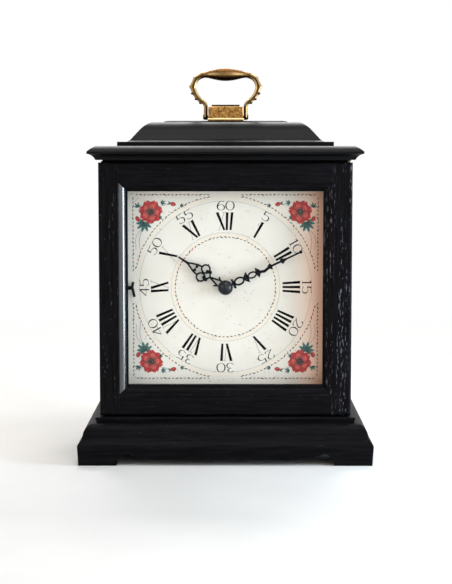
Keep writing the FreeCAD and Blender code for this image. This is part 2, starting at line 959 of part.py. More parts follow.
def stroke(places, width, y0, y1):
    """A chain of bars of one width, rounded at every place."""
    chain = [rod_y(place, width / 2, y0, y1) for place in places]
    return chain + [bar(start, end, width, y0, y1) for start, end in zip(places, places[1:])]


def hour_hand():
    """Pierced hour hand: lyre, two rings with knobs and berries, a spade with a cross bar, and a point."""
    depth = (hour_front_y, hour_back_y)
    top = at_hand(0.0, lyre_reach)
    pieces = [rod_y(centre_place, hand_hub, *depth)]
    for sign in (-1, 1):
        ring_place = at_hand(sign * hour_ring_spread, hour_ring_reach)
        thorn_root = at_hand(sign * (hour_ring_spread + hour_ring_radius - hand_stroke / 2), hour_ring_reach)
        thorn_tip = at_hand(sign * (hour_ring_spread + hour_ring_radius + hour_thorn), hour_ring_reach)
        shoulder = at_hand(sign * spade_spread, spade_reach)
        pieces += stroke([at_hand(sign * lyre_spread, 0.0), at_hand(sign * lyre_spread, fin_reach), top],
                         hand_stroke, *depth)
        fin_tip = at_hand(sign * fin_spread, fin_reach + fin_rise)
        pieces += stroke([at_hand(sign * lyre_spread, fin_reach), fin_tip], hand_stroke, *depth)
        pieces += stroke([top, at_hand(sign * knob_spread, knob_reach)], hand_stroke, *depth)
        pieces.append(rod_y(at_hand(sign * knob_spread, knob_reach), knob_radius, *depth))
        pieces.append(rod_y(at_hand(sign * berry_spread, berry_reach), berry_radius, *depth))
        pieces.append(ring(ring_place, hour_ring_radius, hour_ring_radius - hand_stroke, *depth))
        pieces.append(bar(thorn_root, thorn_tip, hour_thorn_root, *depth, hour_thorn_tip))
        ring_top = at_hand(sign * hour_ring_spread, hour_ring_reach + hour_ring_radius - hand_stroke / 2)
        pieces += stroke([ring_top, shoulder, at_hand(sign * spade_end_spread, spade_end_reach)],
                         hand_stroke, *depth)
        pieces.append(rod_y(at_hand(sign * cross_dot_spread, spade_reach), cross_dot_radius, *depth))
    cross_ends = [at_hand(sign * spade_spread, spade_reach) for sign in (-1, 1)]
    pieces.append(bar(*cross_ends, hand_hairline, *depth))
    pieces.append(bar(at_hand(0.0, point_reach), at_hand(0.0, hour_length), point_width, *depth, point_tip))
    return turned(fuse(pieces).cut(rod_y(centre_place, hour_pipe_outer(), *depth)), hour_angle)


def thorned_collar(reach, half, rise, y0, y1):
    """A collar with a thorn at each side, whose tips stand ahead of the collar's middle by rise."""
    left = [at_hand(-half * share, reach + step) for share, step in
            ((collar_foot, -collar_half), (1.0, rise), (collar_top, collar_half))]
    right = [(-x, z) for x, z in reversed(left)]
    return slab(y0, y1, *(left + right))


def minute_hand():
    """Pierced minute hand: a cross piece, two ovals, thorned collars, a wavy stem, a shaft and a knob."""
    depth = (minute_front_y, minute_back_y)
    pieces = [rod_y(centre_place, hand_hub, *depth)]
    neck_reach = ovals[0][0] - ovals[0][1] + hand_stroke
    pieces.append(bar(centre_place, at_hand(0.0, neck_reach), cross_width, *depth))
    cross_ends = [at_hand(sign * cross_spread, cross_reach) for sign in (-1, 1)]
    pieces += stroke(cross_ends, cross_width, *depth)
    for reach, half_length, half_width, wall in ovals:
        pieces.append(oval_ring(at_hand(0.0, reach), half_length, half_width, wall, *depth))
    for reach, half, rise in collars:
        pieces.append(thorned_collar(reach, half, rise, *depth))
    leaf, stem, arrow = (at_hand(0.0, collar[0]) for collar in collars[1:])
    knob = at_hand(0.0, minute_length - end_knob)
    pieces += stroke([leaf, at_hand(wave_spread, wave_reach), stem], wave_width, *depth)
    pieces.append(bar(stem, arrow, stem_width, *depth))
    pieces.append(bar(arrow, at_hand(0.0, arrow_reach), arrow_width, *depth, shaft_width))
    pieces.append(bar(arrow, knob, shaft_width, *depth))
    pieces.append(rod_y(knob, end_knob, *depth))
    return turned(fuse(pieces).cut(rod_y(centre_place, centre_tip_radius, *depth)), minute_angle)


def hand_nut():
    """Domed nut that holds the hands on the centre arbor."""
    ball = (nut_radius ** 2 + nut_height ** 2) / (2 * nut_height)
    half_way = ball * math.sin(math.asin(nut_radius / ball) / 2)
    half_rise = ball - math.sqrt(ball ** 2 - half_way ** 2)
    section = outline(lambda r, h: vec(r, minute_front_y - h, dial_z), (0.0, 0.0), (nut_radius, 0.0),
                      ((half_way, nut_height - half_rise), (0.0, nut_height)))
    dome = Part.Face(section).revolve(vec(0, 0, dial_z), vec(0, 1, 0), 360)
    return dome.cut(rod_y(centre_place, centre_tip_radius, minute_front_y - nut_thread, minute_front_y))


def silent_lever():
    """Lever that reaches round the dial's left edge to a bent finger in front of it."""
    pivot = (-silent_pivot_x, dial_z)
    back = (layer(silent_layer), layer(silent_layer + silent_thickness))
    front = (dial_front_y - silent_stand_off - silent_thickness, dial_front_y - silent_stand_off)
    leg_x = -(dial_half_width + silent_side_gap)
    half = silent_width / 2
    arm = box((leg_x - silent_leg, pivot[0]), back, (dial_z - half, dial_z + half))
    eye = rod_y(pivot, half, *back)
    leg = box((leg_x - silent_leg, leg_x), (front[0], back[1]), (dial_z - half, dial_z + half))
    finger_x = -(dial_half_width - silent_finger_inset)
    reach = box((leg_x - silent_leg, finger_x), front,
                (dial_z - silent_finger_width, dial_z + silent_finger_width / 2))
    upper = bar((finger_x, dial_z - silent_finger_width / 2),
                (finger_x + silent_finger_lean / 2, dial_z + silent_finger_up), silent_finger_width, *front)
    lower = bar((finger_x, dial_z + silent_finger_width / 2),
                (finger_x + silent_finger_lean, dial_z - silent_finger_down), silent_finger_width, *front)
    lever = fuse([arm, eye, leg, reach, upper, lower])
    return lever.cut(rod_y(pivot, silent_stud + running_clearance, *back))


# Wheel work


def meeting(a, a_reach, b, b_reach):
    """The place at the given distances from a and b, on the left of the way from a to b."""
    gap = math.hypot(b[0] - a[0], b[1] - a[1])
    along = (a_reach ** 2 - b_reach ** 2 + gap ** 2) / (2 * gap)
    off = math.sqrt(a_reach ** 2 - along ** 2)
    way = bearing(a, b)
    return polar(polar(a, along, way), off, way + 90.0)


def depthing(teeth_a, teeth_b, size):
    """Distance between the axes of two wheels in mesh."""
    return (teeth_a + teeth_b) * size / 2


time_barrel_place = (barrel_x, dial_z - barrel_drop)
strike_barrel_place = (-barrel_x, dial_z - barrel_drop)
second_place = meeting(centre_place, depthing(second_teeth, centre_pinion_teeth, module),
                       time_barrel_place, depthing(barrel_teeth, second_pinion_teeth, module))
third_place = polar(centre_place, depthing(centre_teeth, third_pinion_teeth, module), third_angle)
escape_place = polar(third_place, depthing(third_teeth, escape_pinion_teeth, module), escape_angle)
strike_place = polar(strike_barrel_place, depthing(barrel_teeth, strike_pinion_teeth, module), strike_angle)
fly_place = polar(strike_place, depthing(strike_teeth, fly_pinion_teeth, module), fly_angle)
minute_reach = depthing(cannon_teeth, minute_wheel_teeth, motion_module)
minute_wheel_place = polar(centre_place, minute_reach, motion_angle)
hour_module = 2 * minute_reach / (minute_pinion_teeth + hour_wheel_teeth)
lever_place = polar(escape_place, lever_reach, lever_angle)
balance_place = polar(lever_place, balance_reach, lever_angle)
hammer_place = (strike_place[0], dial_z - hammer_drop)


def toothed_wire(place, teeth, size, phase, y):
    """Outline of a wheel whose straight-flanked teeth taper; one tooth points along phase."""
    pitch = 360.0 / teeth
    pitch_radius = teeth * size / 2
    levels = [(pitch_radius - tooth_dedendum * size, tooth_root_share), (pitch_radius, tooth_share),
              (pitch_radius + tooth_addendum * size, tooth_tip_share)]
    corners = []
    for index in range(teeth):
        middle = phase + index * pitch
        corners += [polar(place, radius, middle - share * pitch / 2) for radius, share in levels]
        corners += [polar(place, radius, middle + share * pitch / 2) for radius, share in reversed(levels)]
    return outline(plane_xz(y), *corners)


def spoke_windows(place, inner, outer, y):
    """The openings between a wheel's spokes."""
    wires = []
    step = 360.0 / wheel_spokes
    for index in range(wheel_spokes):
        start = index * step
        near = math.degrees(math.asin(spoke_width / 2 / inner))
        far = math.degrees(math.asin(spoke_width / 2 / outer))
        wires.append(outline(plane_xz(y), polar(place, inner, start + near), polar(place, outer, start + far),
                             (polar(place, outer, start + step / 2), polar(place, outer, start + step - far)),
                             polar(place, inner, start + step - near),
                             (polar(place, inner, start + step / 2), polar(place, inner, start + near))))
    return wires


def crossed_wheel(place, teeth, size, phase, level, thickness):
    """A spoked wheel whose front face is at this level."""
    y = layer(level)
    inner_rim = teeth * size / 2 - tooth_dedendum * size - wheel_rim
    wires = [toothed_wire(place, teeth, size, phase, y)] + spoke_windows(place, wheel_hub, inner_rim, y)
    return prism(wires, vec(0, thickness, 0))


def solid_gear(place, teeth, size, phase, level, thickness):
    y = layer(level)
    return prism([toothed_wire(place, teeth, size, phase, y)], vec(0, thickness, 0))


def lantern(place, teeth, phase, level, thickness):
    """Lantern pinion for a wheel of this level and thickness: two shrouds and a ring of trundles."""
    radius = teeth * module / 2
    start = layer(level - pinion_overlap)
    end = layer(level + thickness + pinion_overlap)
    rim = radius + trundle_radius + shroud_margin
    pieces = [rod_y(place, rim, start, start + shroud_thickness),
              rod_y(place, rim, end - shroud_thickness, end)]
    for index in range(teeth):
        pieces.append(rod_y(polar(place, radius, phase + index * 360.0 / teeth), trundle_radius, start, end))
    return pieces


def gap_phase(place, other, teeth):
    """Phase that turns a gap between two teeth of a wheel towards another wheel's axis."""
    return bearing(place, other) + 180.0 / teeth


def arbor(place, front=None, back=None):
    """An arbor between the plates with a pivot at each end, unless it runs on to a given level."""
    start = end_shake if front is None else front
    end = plate_spacing - end_shake if back is None else back
    pieces = [rod_y(place, arbor_radius, layer(start), layer(end))]
    if front is None:
        pieces.append(rod_y(place, pivot_tip_radius, layer(end_shake - plate_thickness), layer(start)))
    if back is None:
        pieces.append(rod_y(place, pivot_tip_radius, layer(end), layer(rear_face - end_shake)))
    return pieces


def barrel(place, partner):
    """Going barrel: a toothed great wheel, a drum and its cap, bored for the winding arbor."""
    wheel = solid_gear(place, barrel_teeth, module, bearing(place, partner), barrel_layer,
                       barrel_wheel_thickness)
    start = layer(barrel_layer + barrel_wheel_thickness)
    end = start + drum_length
    drum = rod_y(place, drum_radius, start, end)
    hollow = rod_y(place, drum_radius - drum_wall, start, end - drum_wall)
    bore = rod_y(place, winder_radius + running_clearance, layer(barrel_layer), end)
    return fuse([wheel, drum]).cut(hollow).cut(bore)


def spiral_strip(place, hub, pitch, strip, turns, y0, y1):
    """A flat spiral spring: half circles about two centres, so that it opens by one pitch a turn."""
    centres = (place, (place[0] + pitch / 2, place[1]))

    def edge(offset, half_turns):
        points = []
        for index in half_turns:
            middle = centres[index % 2]
            radius = hub + index * pitch / 2 + offset
            side = 180.0 * (index % 2)
            points.append([polar(middle, radius, side + turn) for turn in (0.0, 90.0, 180.0)])
        return points

    outer = edge(strip / 2, range(2 * turns))
    inner = edge(-strip / 2, range(2 * turns))
    steps = [(arc[1], arc[2]) for arc in outer]
    steps.append(inner[-1][2])
    steps += [(arc[1], arc[0]) for arc in reversed(inner)]
    return slab(y0, y1, outer[0][0], *steps)


def mainspring(place):
    """Spring coiled in a barrel's drum."""
    start = layer(barrel_layer + barrel_wheel_thickness) + loose_clearance
    end = layer(barrel_layer + barrel_wheel_thickness) + drum_length - drum_wall - loose_clearance
    return spiral_strip(place, mainspring_hub, mainspring_pitch, mainspring_strip, mainspring_turns,
                        start, end)


def winder(place):
    """Winding arbor through a barrel, with its collars, ratchet wheel and key square."""
    barrel_end = barrel_layer + barrel_wheel_thickness + drum_length
    ratchet_start = rear_face + ratchet_gap
    ratchet_end = ratchet_start + ratchet_thickness
    pieces = [rod_y(place, winder_pivot, layer(end_shake - plate_thickness), layer(end_shake)),
              rod_y(place, winder_radius, layer(end_shake), layer(ratchet_end))]
    collar_starts = (barrel_layer - loose_clearance - winder_collar, barrel_end + loose_clearance)
    for start in collar_starts:
        pieces.append(rod_y(place, winder_collar_radius, layer(start), layer(start + winder_collar)))
    saw = star_outline(place, ratchet_teeth, ratchet_radius, ratchet_root, ratchet_lean)
    pieces.append(slab(layer(ratchet_start), layer(ratchet_end), *saw))
    half = winder_square / 2
    square_depth = (layer(ratchet_end), layer(ratchet_end) + winder_square_length)
    pieces.append(box((place[0] - half, place[0] + half), square_depth, (place[1] - half, place[1] + half)))
    return fuse(pieces)


def clicks():
    """A pawl beside each ratchet wheel, on a boss that stands on the back plate."""
    start = layer(rear_face + ratchet_gap)
    end = start + ratchet_thickness
    pawls = []
    for place, mirror in ((time_barrel_place, 1), (strike_barrel_place, -1)):
        pivot_angle = click_pivot_angle if mirror > 0 else 180.0 - click_pivot_angle
        nose_angle = click_nose_angle if mirror > 0 else 180.0 - click_nose_angle
        pivot = polar(place, ratchet_radius + click_pivot_reach, pivot_angle)
        nose = polar(place, ratchet_radius + click_nose_reach, nose_angle)
        pawls.append(fuse([rod_y(pivot, click_boss, layer(rear_face), end),
                           bar(pivot, nose, click_width, start, end, click_nose_width)]))
    return Part.makeCompound(pawls)


def second_wheel():
    phase = gap_phase(second_place, time_barrel_place, second_pinion_teeth)
    wheel = crossed_wheel(second_place, second_teeth, module, bearing(second_place, centre_place),
                          front_wheel_layer, wheel_thickness)
    pinion = lantern(second_place, second_pinion_teeth, phase, barrel_layer, barrel_wheel_thickness)
    return fuse([wheel] + pinion + arbor(second_place))


def centre_wheel():
    """Centre arbor with its wheel, its lantern pinion and, in front, the cannon pinion."""
    phase = gap_phase(centre_place, second_place, centre_pinion_teeth)
    wheel = crossed_wheel(centre_place, centre_teeth, module, bearing(centre_place, third_place),
                          centre_wheel_layer, wheel_thickness)
    pinion = lantern(centre_place, centre_pinion_teeth, phase, front_wheel_layer, wheel_thickness)
    cannon_phase = gap_phase(centre_place, minute_wheel_place, cannon_teeth)
    cannon = solid_gear(centre_place, cannon_teeth, motion_module, cannon_phase,
                        minute_wheel_layer - loose_clearance, motion_thickness + 2 * loose_clearance)
    front = rod_y(centre_place, centre_front_radius, minute_back_y, layer(front_wheel_layer - pinion_overlap))
    tip = rod_y(centre_place, centre_tip_radius, minute_front_y - nut_thread, minute_back_y)
    shaft = arbor(centre_place, front=front_wheel_layer - pinion_overlap)
    return fuse([wheel, cannon, front, tip] + pinion + shaft)


def third_wheel():
    phase = gap_phase(third_place, centre_place, third_pinion_teeth)
    wheel = crossed_wheel(third_place, third_teeth, module, bearing(third_place, escape_place),
                          third_wheel_layer, wheel_thickness)
    pinion = lantern(third_place, third_pinion_teeth, phase, centre_wheel_layer, wheel_thickness)
    return fuse([wheel] + pinion + arbor(third_place))


def star_outline(place, points, outer, inner, lean):
    """Corners of a wheel of pointed teeth; lean shifts each point towards the next hollow."""
    pitch = 360.0 / points
    corners = []
    for index in range(points):
        corners.append(polar(place, inner, index * pitch))
        corners.append(polar(place, outer, (index + lean) * pitch))
    return corners


def escape_wheel():
    phase = gap_phase(escape_place, third_place, escape_pinion_teeth)
    pinion = lantern(escape_place, escape_pinion_teeth, phase, third_wheel_layer, wheel_thickness)
    teeth = slab(layer(escape_layer), layer(escape_layer + escape_thickness),
                 *star_outline(escape_place, escape_teeth, escape_radius, escape_root, escape_lean))
    shaft = arbor(escape_place, back=escape_layer + escape_thickness + end_shake)
    return fuse([teeth] + pinion + shaft)


def pallet_lever():
    """Lever with two pallets that straddle the escape wheel and a fork towards the balance."""
    depth = (layer(escape_layer), layer(escape_layer + escape_thickness))
    pieces = [rod_y(lever_place, lever_hub, *depth)]
    facing = bearing(escape_place, lever_place)
    for sign in (-1, 1):
        pallet = polar(escape_place, escape_radius + pallet_reach, facing + sign * pallet_spread)
        pieces.append(bar(lever_place, pallet, lever_width, *depth))
        horn = polar(lever_place, lever_fork + fork_depth, lever_angle + sign * fork_spread)
        root = polar(lever_place, lever_fork - fork_depth, lever_angle)
        pieces.append(bar(root, horn, fork_width, *depth))
    pieces.append(bar(lever_place, polar(lever_place, lever_fork, lever_angle), lever_width, *depth))
    return fuse(pieces).cut(rod_y(lever_place, lever_stud + running_clearance, *depth))


def balance_and_hairspring():
    """Two-armed balance on its staff, and the flat hairspring over it."""
    start = layer(balance_layer)
    end = layer(balance_layer + balance_thickness)
    rim = ring(balance_place, balance_radius, balance_radius - balance_rim, start, end)
    reach = balance_radius - balance_rim / 2
    arm_ends = [polar(balance_place, reach, lever_angle + side) for side in (-90.0, 90.0)]
    arm = bar(*arm_ends, balance_arm, start, end)
    hub = rod_y(balance_place, balance_hub, start, end)
    staff = rod_y(balance_place, pivot_tip_radius, layer(plate_spacing + end_shake),
                  layer(cock_layer + cock_thickness - end_shake))
    spring = spiral_strip(balance_place, hairspring_hub, hairspring_pitch, hairspring_strip, hairspring_turns,
                          layer(hairspring_layer), layer(hairspring_layer + hairspring_height))
    return Part.makeCompound([fuse([rim, arm, hub, staff]), spring])


def balance_cock():
    """Bridge on the back plate that carries the balance's rear pivot."""
    rim_x = balance_place[0] - balance_radius - cock_foot_gap
    z_range = (balance_place[1] - cock_width / 2, balance_place[1] + cock_width / 2)
    top = layer(cock_layer + cock_thickness)
    foot = box((rim_x - cock_foot, rim_x), (layer(rear_face), top), z_range)
    arm = box((rim_x - cock_foot, balance_place[0] + cock_width / 2), (layer(cock_layer), top), z_range)
    return fuse([foot, arm]).cut(rod_y(balance_place, pivot_tip_radius + pivot_play, layer(cock_layer), top))


def hour_pipe_outer():
    return centre_front_radius + running_clearance + hour_pipe_wall


def minute_wheel():
    """Wheel and pinion on a stud, which bring the hour wheel down to one turn in twelve."""
    wheel = solid_gear(minute_wheel_place, minute_wheel_teeth, motion_module,
                       bearing(minute_wheel_place, centre_place), minute_wheel_layer, motion_thickness)
    pinion = solid_gear(minute_wheel_place, minute_pinion_teeth, hour_module,
                        gap_phase(minute_wheel_place, centre_place, minute_pinion_teeth),
                        minute_wheel_layer - motion_pinion_length, motion_pinion_length)
    depth = (layer(minute_wheel_layer - motion_pinion_length), layer(minute_wheel_layer + motion_thickness))
    bore = rod_y(minute_wheel_place, motion_stud + running_clearance, *depth)
    return fuse([wheel, pinion]).cut(bore)


def hour_wheel():
    """Wheel on the pipe that carries the hour hand."""
    wheel = solid_gear(centre_place, hour_wheel_teeth, hour_module, bearing(centre_place, minute_wheel_place),
                       hour_wheel_layer, motion_thickness)
    pipe = rod_y(centre_place, hour_pipe_outer(), hour_front_y, layer(hour_wheel_layer + motion_thickness))
    bore = rod_y(centre_place, centre_front_radius + running_clearance, hour_front_y,
                 layer(hour_wheel_layer + motion_thickness))
    return fuse([wheel, pipe]).cut(bore)


# Movement plates


def plate_blank(level):
    return box((-plate_half_width, plate_half_width), (layer(level), layer(level + plate_thickness)),
               (dial_z - plate_below, dial_z + plate_above))


def bores(level, holes):
    """Round holes through a plate, each a place and a radius."""
    start = layer(level)
    end = start + plate_thickness
    return Part.makeCompound([rod_y(place, radius, start, end) for place, radius in holes])


def pillar_places():
    x = plate_half_width - pillar_inset
    return [(sign * x, z) for sign in (-1, 1)
            for z in (dial_z - plate_below + pillar_inset, dial_z + plate_above - pillar_inset)]


def front_plate():
    """Plate behind the dial, with the studs for the minute wheel and the silent lever."""
    pivot = pivot_tip_radius + pivot_play
    holes = [(place, pivot) for place in (second_place, third_place, escape_place, strike_place, fly_place)]
    holes += [(place, winder_pivot + pivot_play) for place in (time_barrel_place, strike_barrel_place)]
    holes += [(place, pillar_stud + pivot_play) for place in pillar_places()]
    holes.append((centre_place, centre_front_radius + running_clearance))
    plate = plate_blank(-plate_thickness).cut(bores(-plate_thickness, holes))
    stud_tip = layer(minute_wheel_layer - motion_pinion_length - loose_clearance)
    minute_stud = rod_y(minute_wheel_place, motion_stud, stud_tip, layer(-plate_thickness))
    lever_stud_rod = rod_y((-silent_pivot_x, dial_z), silent_stud, layer(silent_layer - loose_clearance),
                           layer(-plate_thickness))
    return fuse([plate, minute_stud, lever_stud_rod])


def back_plate():
    """Plate towards the rear door, with the studs for the pallet lever and the hammers."""
    pivot = pivot_tip_radius + pivot_play
    barrels = (time_barrel_place, strike_barrel_place)
    holes = [(place, pivot) for place in (second_place, centre_place, third_place, fly_place, balance_place)]
    holes += [(place, winder_radius + running_clearance) for place in barrels]
    holes += [(place, arbor_radius + running_clearance) for place in (escape_place, strike_place)]
    holes += [(place, pillar_stud + pivot_play) for place in pillar_places()]
    plate = plate_blank(plate_spacing).cut(bores(plate_spacing, holes))
    pallet_end = escape_layer + escape_thickness + end_shake
    pallet_stud = rod_y(lever_place, lever_stud, layer(rear_face), layer(pallet_end))
    hammer_end = star_layers[-1] + star_thickness / 2 + hammer_width / 2 + end_shake
    hammer_rod = rod_y(hammer_place, hammer_stud, layer(rear_face), layer(hammer_end))
    return fuse([plate, pallet_stud, hammer_rod])


def plate_pillars():
    """Four pillars between the plates; the lower two are drilled for the seat bolts."""
    reach = plate_thickness + pillar_nut_height
    pillars = []
    for place in pillar_places():
        body = rod_y(place, pillar_radius, layer(0.0), layer(plate_spacing))
        stud = rod_y(place, pillar_stud, layer(-reach), layer(plate_spacing + reach))
        pillars.append(fuse([body, stud]))
    return [pillar.cut(seat_bolts()) for pillar in pillars]


def pillar_nuts():
    """A round nut at each end of every pillar."""
    nuts = []
    for place in pillar_places():
        for start in (-plate_thickness - pillar_nut_height, rear_face):
            depth = (layer(start), layer(start + pillar_nut_height))
            nuts.append(ring(place, pillar_nut_radius, pillar_stud, *depth))
    return nuts


def seat_bolts():
    """Two bolts up through the seat board into the lower pillars."""
    bolts = []
    y = layer(plate_spacing / 2)
    under = seat_top - seat_thickness
    for sign in (-1, 1):
        x = sign * (plate_half_width - pillar_inset)
        shank = rod_z(x, y, seat_bolt_radius, under, seat_top + pillar_inset)
        head = rod_z(x, y, seat_bolt_head, under - seat_bolt_head_height, under)
        bolts.append(fuse([shank, head]))
    return Part.makeCompound(bolts)


# Strike work


def strike_wheel():
    """Wheel driven by the strike barrel; its arbor carries two lifting stars behind the back plate."""
    phase = gap_phase(strike_place, strike_barrel_place, strike_pinion_teeth)
    wheel = crossed_wheel(strike_place, strike_teeth, module, bearing(strike_place, fly_place),
                          front_wheel_layer, wheel_thickness)
    pinion = lantern(strike_place, strike_pinion_teeth, phase, barrel_layer, barrel_wheel_thickness)
    stars = []
    for start in star_layers:
        corners = star_outline(strike_place, star_lobes, star_radius, star_root, star_lean)
        stars.append(slab(layer(start), layer(start + star_thickness), *corners))
    shaft = arbor(strike_place, back=star_layers[-1] + star_thickness + end_shake)
    return fuse([wheel] + pinion + stars + shaft)


def strike_fly():
    """Air brake of the strike train: a two-bladed vane on its arbor."""
    phase = gap_phase(fly_place, strike_place, fly_pinion_teeth)
    pinion = lantern(fly_place, fly_pinion_teeth, phase, front_wheel_layer, wheel_thickness)
    start, end = (layer(level) for level in fly_layers)
    blade = box((fly_place[0] - fly_radius, fly_place[0] + fly_radius), (start, end),
                (fly_place[1] - fly_blade / 2, fly_place[1] + fly_blade / 2))
    sleeve = rod_y(fly_place, fly_sleeve, start, end)
    return fuse([blade, sleeve] + pinion + arbor(fly_place))


def hammer(star_layer):
    """Hammer on the rear stud: a tail beside its star and an arm to a head above its gong rod."""
    middle = star_layer + star_thickness / 2
    depth = (layer(middle - hammer_width / 2), layer(middle + hammer_width / 2))
    tail_x = strike_place[0] + star_radius + tail_gap + tail_width / 2
    head_bottom = gong_z + gong_radius + hammer_head_gap
    head_top = head_bottom + hammer_head_height
    pieces = [rod_y(hammer_place, hammer_hub, *depth),
              bar(hammer_place, (tail_x, strike_place[1]), tail_width, *depth),
              bar(hammer_place, (-hammer_head_x, head_top - hammer_arm_width), hammer_arm_width, *depth),
              rod_z(-hammer_head_x, layer(middle), hammer_head_radius, head_bottom, head_top)]
    return fuse(pieces).cut(rod_y(hammer_place, hammer_stud + running_clearance, *depth))


def gong_rods():
    """One steel rod below each hammer head, its end held in the gong block."""
    end = inner_half - gong_block_width + gong_grip
    return Part.makeCompound([rod_x(layer(start + star_thickness / 2), gong_z, gong_radius,
                                    gong_left_gap - inner_half, end) for start in star_layers])


def gong_block():
    """Iron block on the right case side that holds the gong rods."""
    y_range = (layer(star_layers[0] - gong_block_margin),
               layer(star_layers[-1] + star_thickness + gong_block_margin))
    block = box((inner_half - gong_block_width, inner_half), y_range,
                (gong_z - gong_block_height / 2, gong_z + gong_block_height / 2))
    return block.cut(gong_rods())


# Rear door


def rear_door_panel():
    """Panel between the case sides, with upright sound slots near its foot."""
    half = inner_half - panel_gap
    bottom = plinth_top + door_swing_gap
    panel = box((-half, half), (rear_front_y, case_back_y), (bottom, neck_bottom - door_swing_gap))
    slots = []
    for index in range(rear_slots):
        x = (index - (rear_slots - 1) / 2) * rear_slot_pitch
        low = bottom + rear_slot_rise
        slots.append(box((x - rear_slot_width / 2, x + rear_slot_width / 2), (rear_front_y, case_back_y),
                         (low, low + rear_slot_height)))
    return panel.cut(Part.makeCompound(slots))


def hinge_bottoms():
    length = knuckles * knuckle_length
    return (door_bottom + hinge_inset, door_top - hinge_inset - length)


def hinge_leaves(sign, first):
    """Leaves on one side of the hinge line, with every second knuckle from the first one given."""
    leaves = []
    for bottom in hinge_bottoms():
        stand = knuckle_radius + loose_clearance
        flat_x = (rear_hinge_x + sign * stand, rear_hinge_x + sign * hinge_leaf_reach)
        depth = (case_back_y, case_back_y + hinge_leaf)
        pieces = [box(flat_x, depth, (bottom, bottom + knuckles * knuckle_length))]
        for index in range(first, knuckles, 2):
            low = bottom + index * knuckle_length + loose_clearance / 2
            high = low + knuckle_length - loose_clearance
            pieces.append(rod_z(rear_hinge_x, rear_hinge_y, knuckle_radius, low, high))
            pieces.append(box((rear_hinge_x, flat_x[0]), depth, (low, high)))
        bore = rod_z(rear_hinge_x, rear_hinge_y, hinge_pin_radius + running_clearance,
                     bottom, bottom + knuckles * knuckle_length)
        leaves.append(fuse(pieces).cut(bore))
    return leaves


def rear_hinge_pins():
    length = knuckles * knuckle_length
    return [rod_z(rear_hinge_x, rear_hinge_y, hinge_pin_radius, bottom, bottom + length)
            for bottom in hinge_bottoms()]


def rear_knob():
    """Turned knob on the rear door."""
    place = (rear_knob_x, dial_z)
    stem = rod_y(place, rear_knob_stem, case_back_y, case_back_y + rear_knob_length)
    head = rod_y(place, rear_knob_radius, case_back_y + rear_knob_stand, case_back_y + rear_knob_length)
    rim = [edge for edge in head.Edges if edge.BoundBox.YLength < rear_knob_length / 4]
    return fuse([stem, head.makeFillet(rear_knob_round, rim)])


def pieces():
    """Every piece of the clock by name."""
    named = base_rails()
    named.update({
        "plinth_board": plinth_board(), "case_left_side": case_side(-1), "case_right_side": case_side(1),
        "case_top_board": case_top_board(), "cornice": cornice(), "bell_top": bell_top(),
        "bell_cap": bell_cap(), "seat_board": seat_board(), "seat_bolts": seat_bolts(),
        "door_left_stile": door_stile(-1), "door_right_stile": door_stile(1),
        "door_top_rail": door_rail(1), "door_bottom_rail": door_rail(-1),
        "door_glass": door_glass(), "glass_beads": glass_beads(), "door_pivot_pins": door_pivot_pins(),
        "pivot_sockets": pivot_sockets(), "door_magnet": door_magnet(), "magnet_keeper": magnet_keeper(),
        "handle_block": handle_block(), "handle_pivots": handle_pivots(), "handle_bail": handle_bail(),
        "dial_plate": dial_plate(), "hour_hand": hour_hand(), "minute_hand": minute_hand(),
        "hand_nut": hand_nut(), "silent_lever": silent_lever(),
        "front_plate": front_plate(), "back_plate": back_plate(),
        "plate_pillars": Part.makeCompound(plate_pillars() + pillar_nuts()),
        "time_barrel": barrel(time_barrel_place, second_place),
        "time_mainspring": mainspring(time_barrel_place), "time_winder": winder(time_barrel_place),
        "strike_barrel": barrel(strike_barrel_place, strike_place),
        "strike_mainspring": mainspring(strike_barrel_place), "strike_winder": winder(strike_barrel_place),
        "clicks": clicks(), "second_wheel": second_wheel(), "centre_wheel": centre_wheel(),
        "third_wheel": third_wheel(), "escape_wheel": escape_wheel(), "pallet_lever": pallet_lever(),
        "balance_and_hairspring": balance_and_hairspring(), "balance_cock": balance_cock(),
        "minute_wheel": minute_wheel(), "hour_wheel": hour_wheel(),
        "strike_wheel": strike_wheel(), "strike_fly": strike_fly(),
        "first_hammer": hammer(star_layers[0]), "second_hammer": hammer(star_layers[1]),
        "gong_rods": gong_rods(), "gong_block": gong_block(),
        "rear_door_panel": rear_door_panel(), "rear_knob": rear_knob(),
        "rear_hinge_case_leaves": Part.makeCompound(hinge_leaves(-1, 0) + rear_hinge_pins()),
        "rear_hinge_door_leaves": Part.makeCompound(hinge_leaves(1, 1)),
    })
    return named


def main():
    os.makedirs("parts", exist_ok=True)
    for name, shape in pieces().items():
        shape.exportStep(f"parts/{name}.step")
        print(name, len(shape.Solids), round(shape.Volume, 1), shape.isValid())


if __name__ == "__main__":
    main()
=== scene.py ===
import json
import math

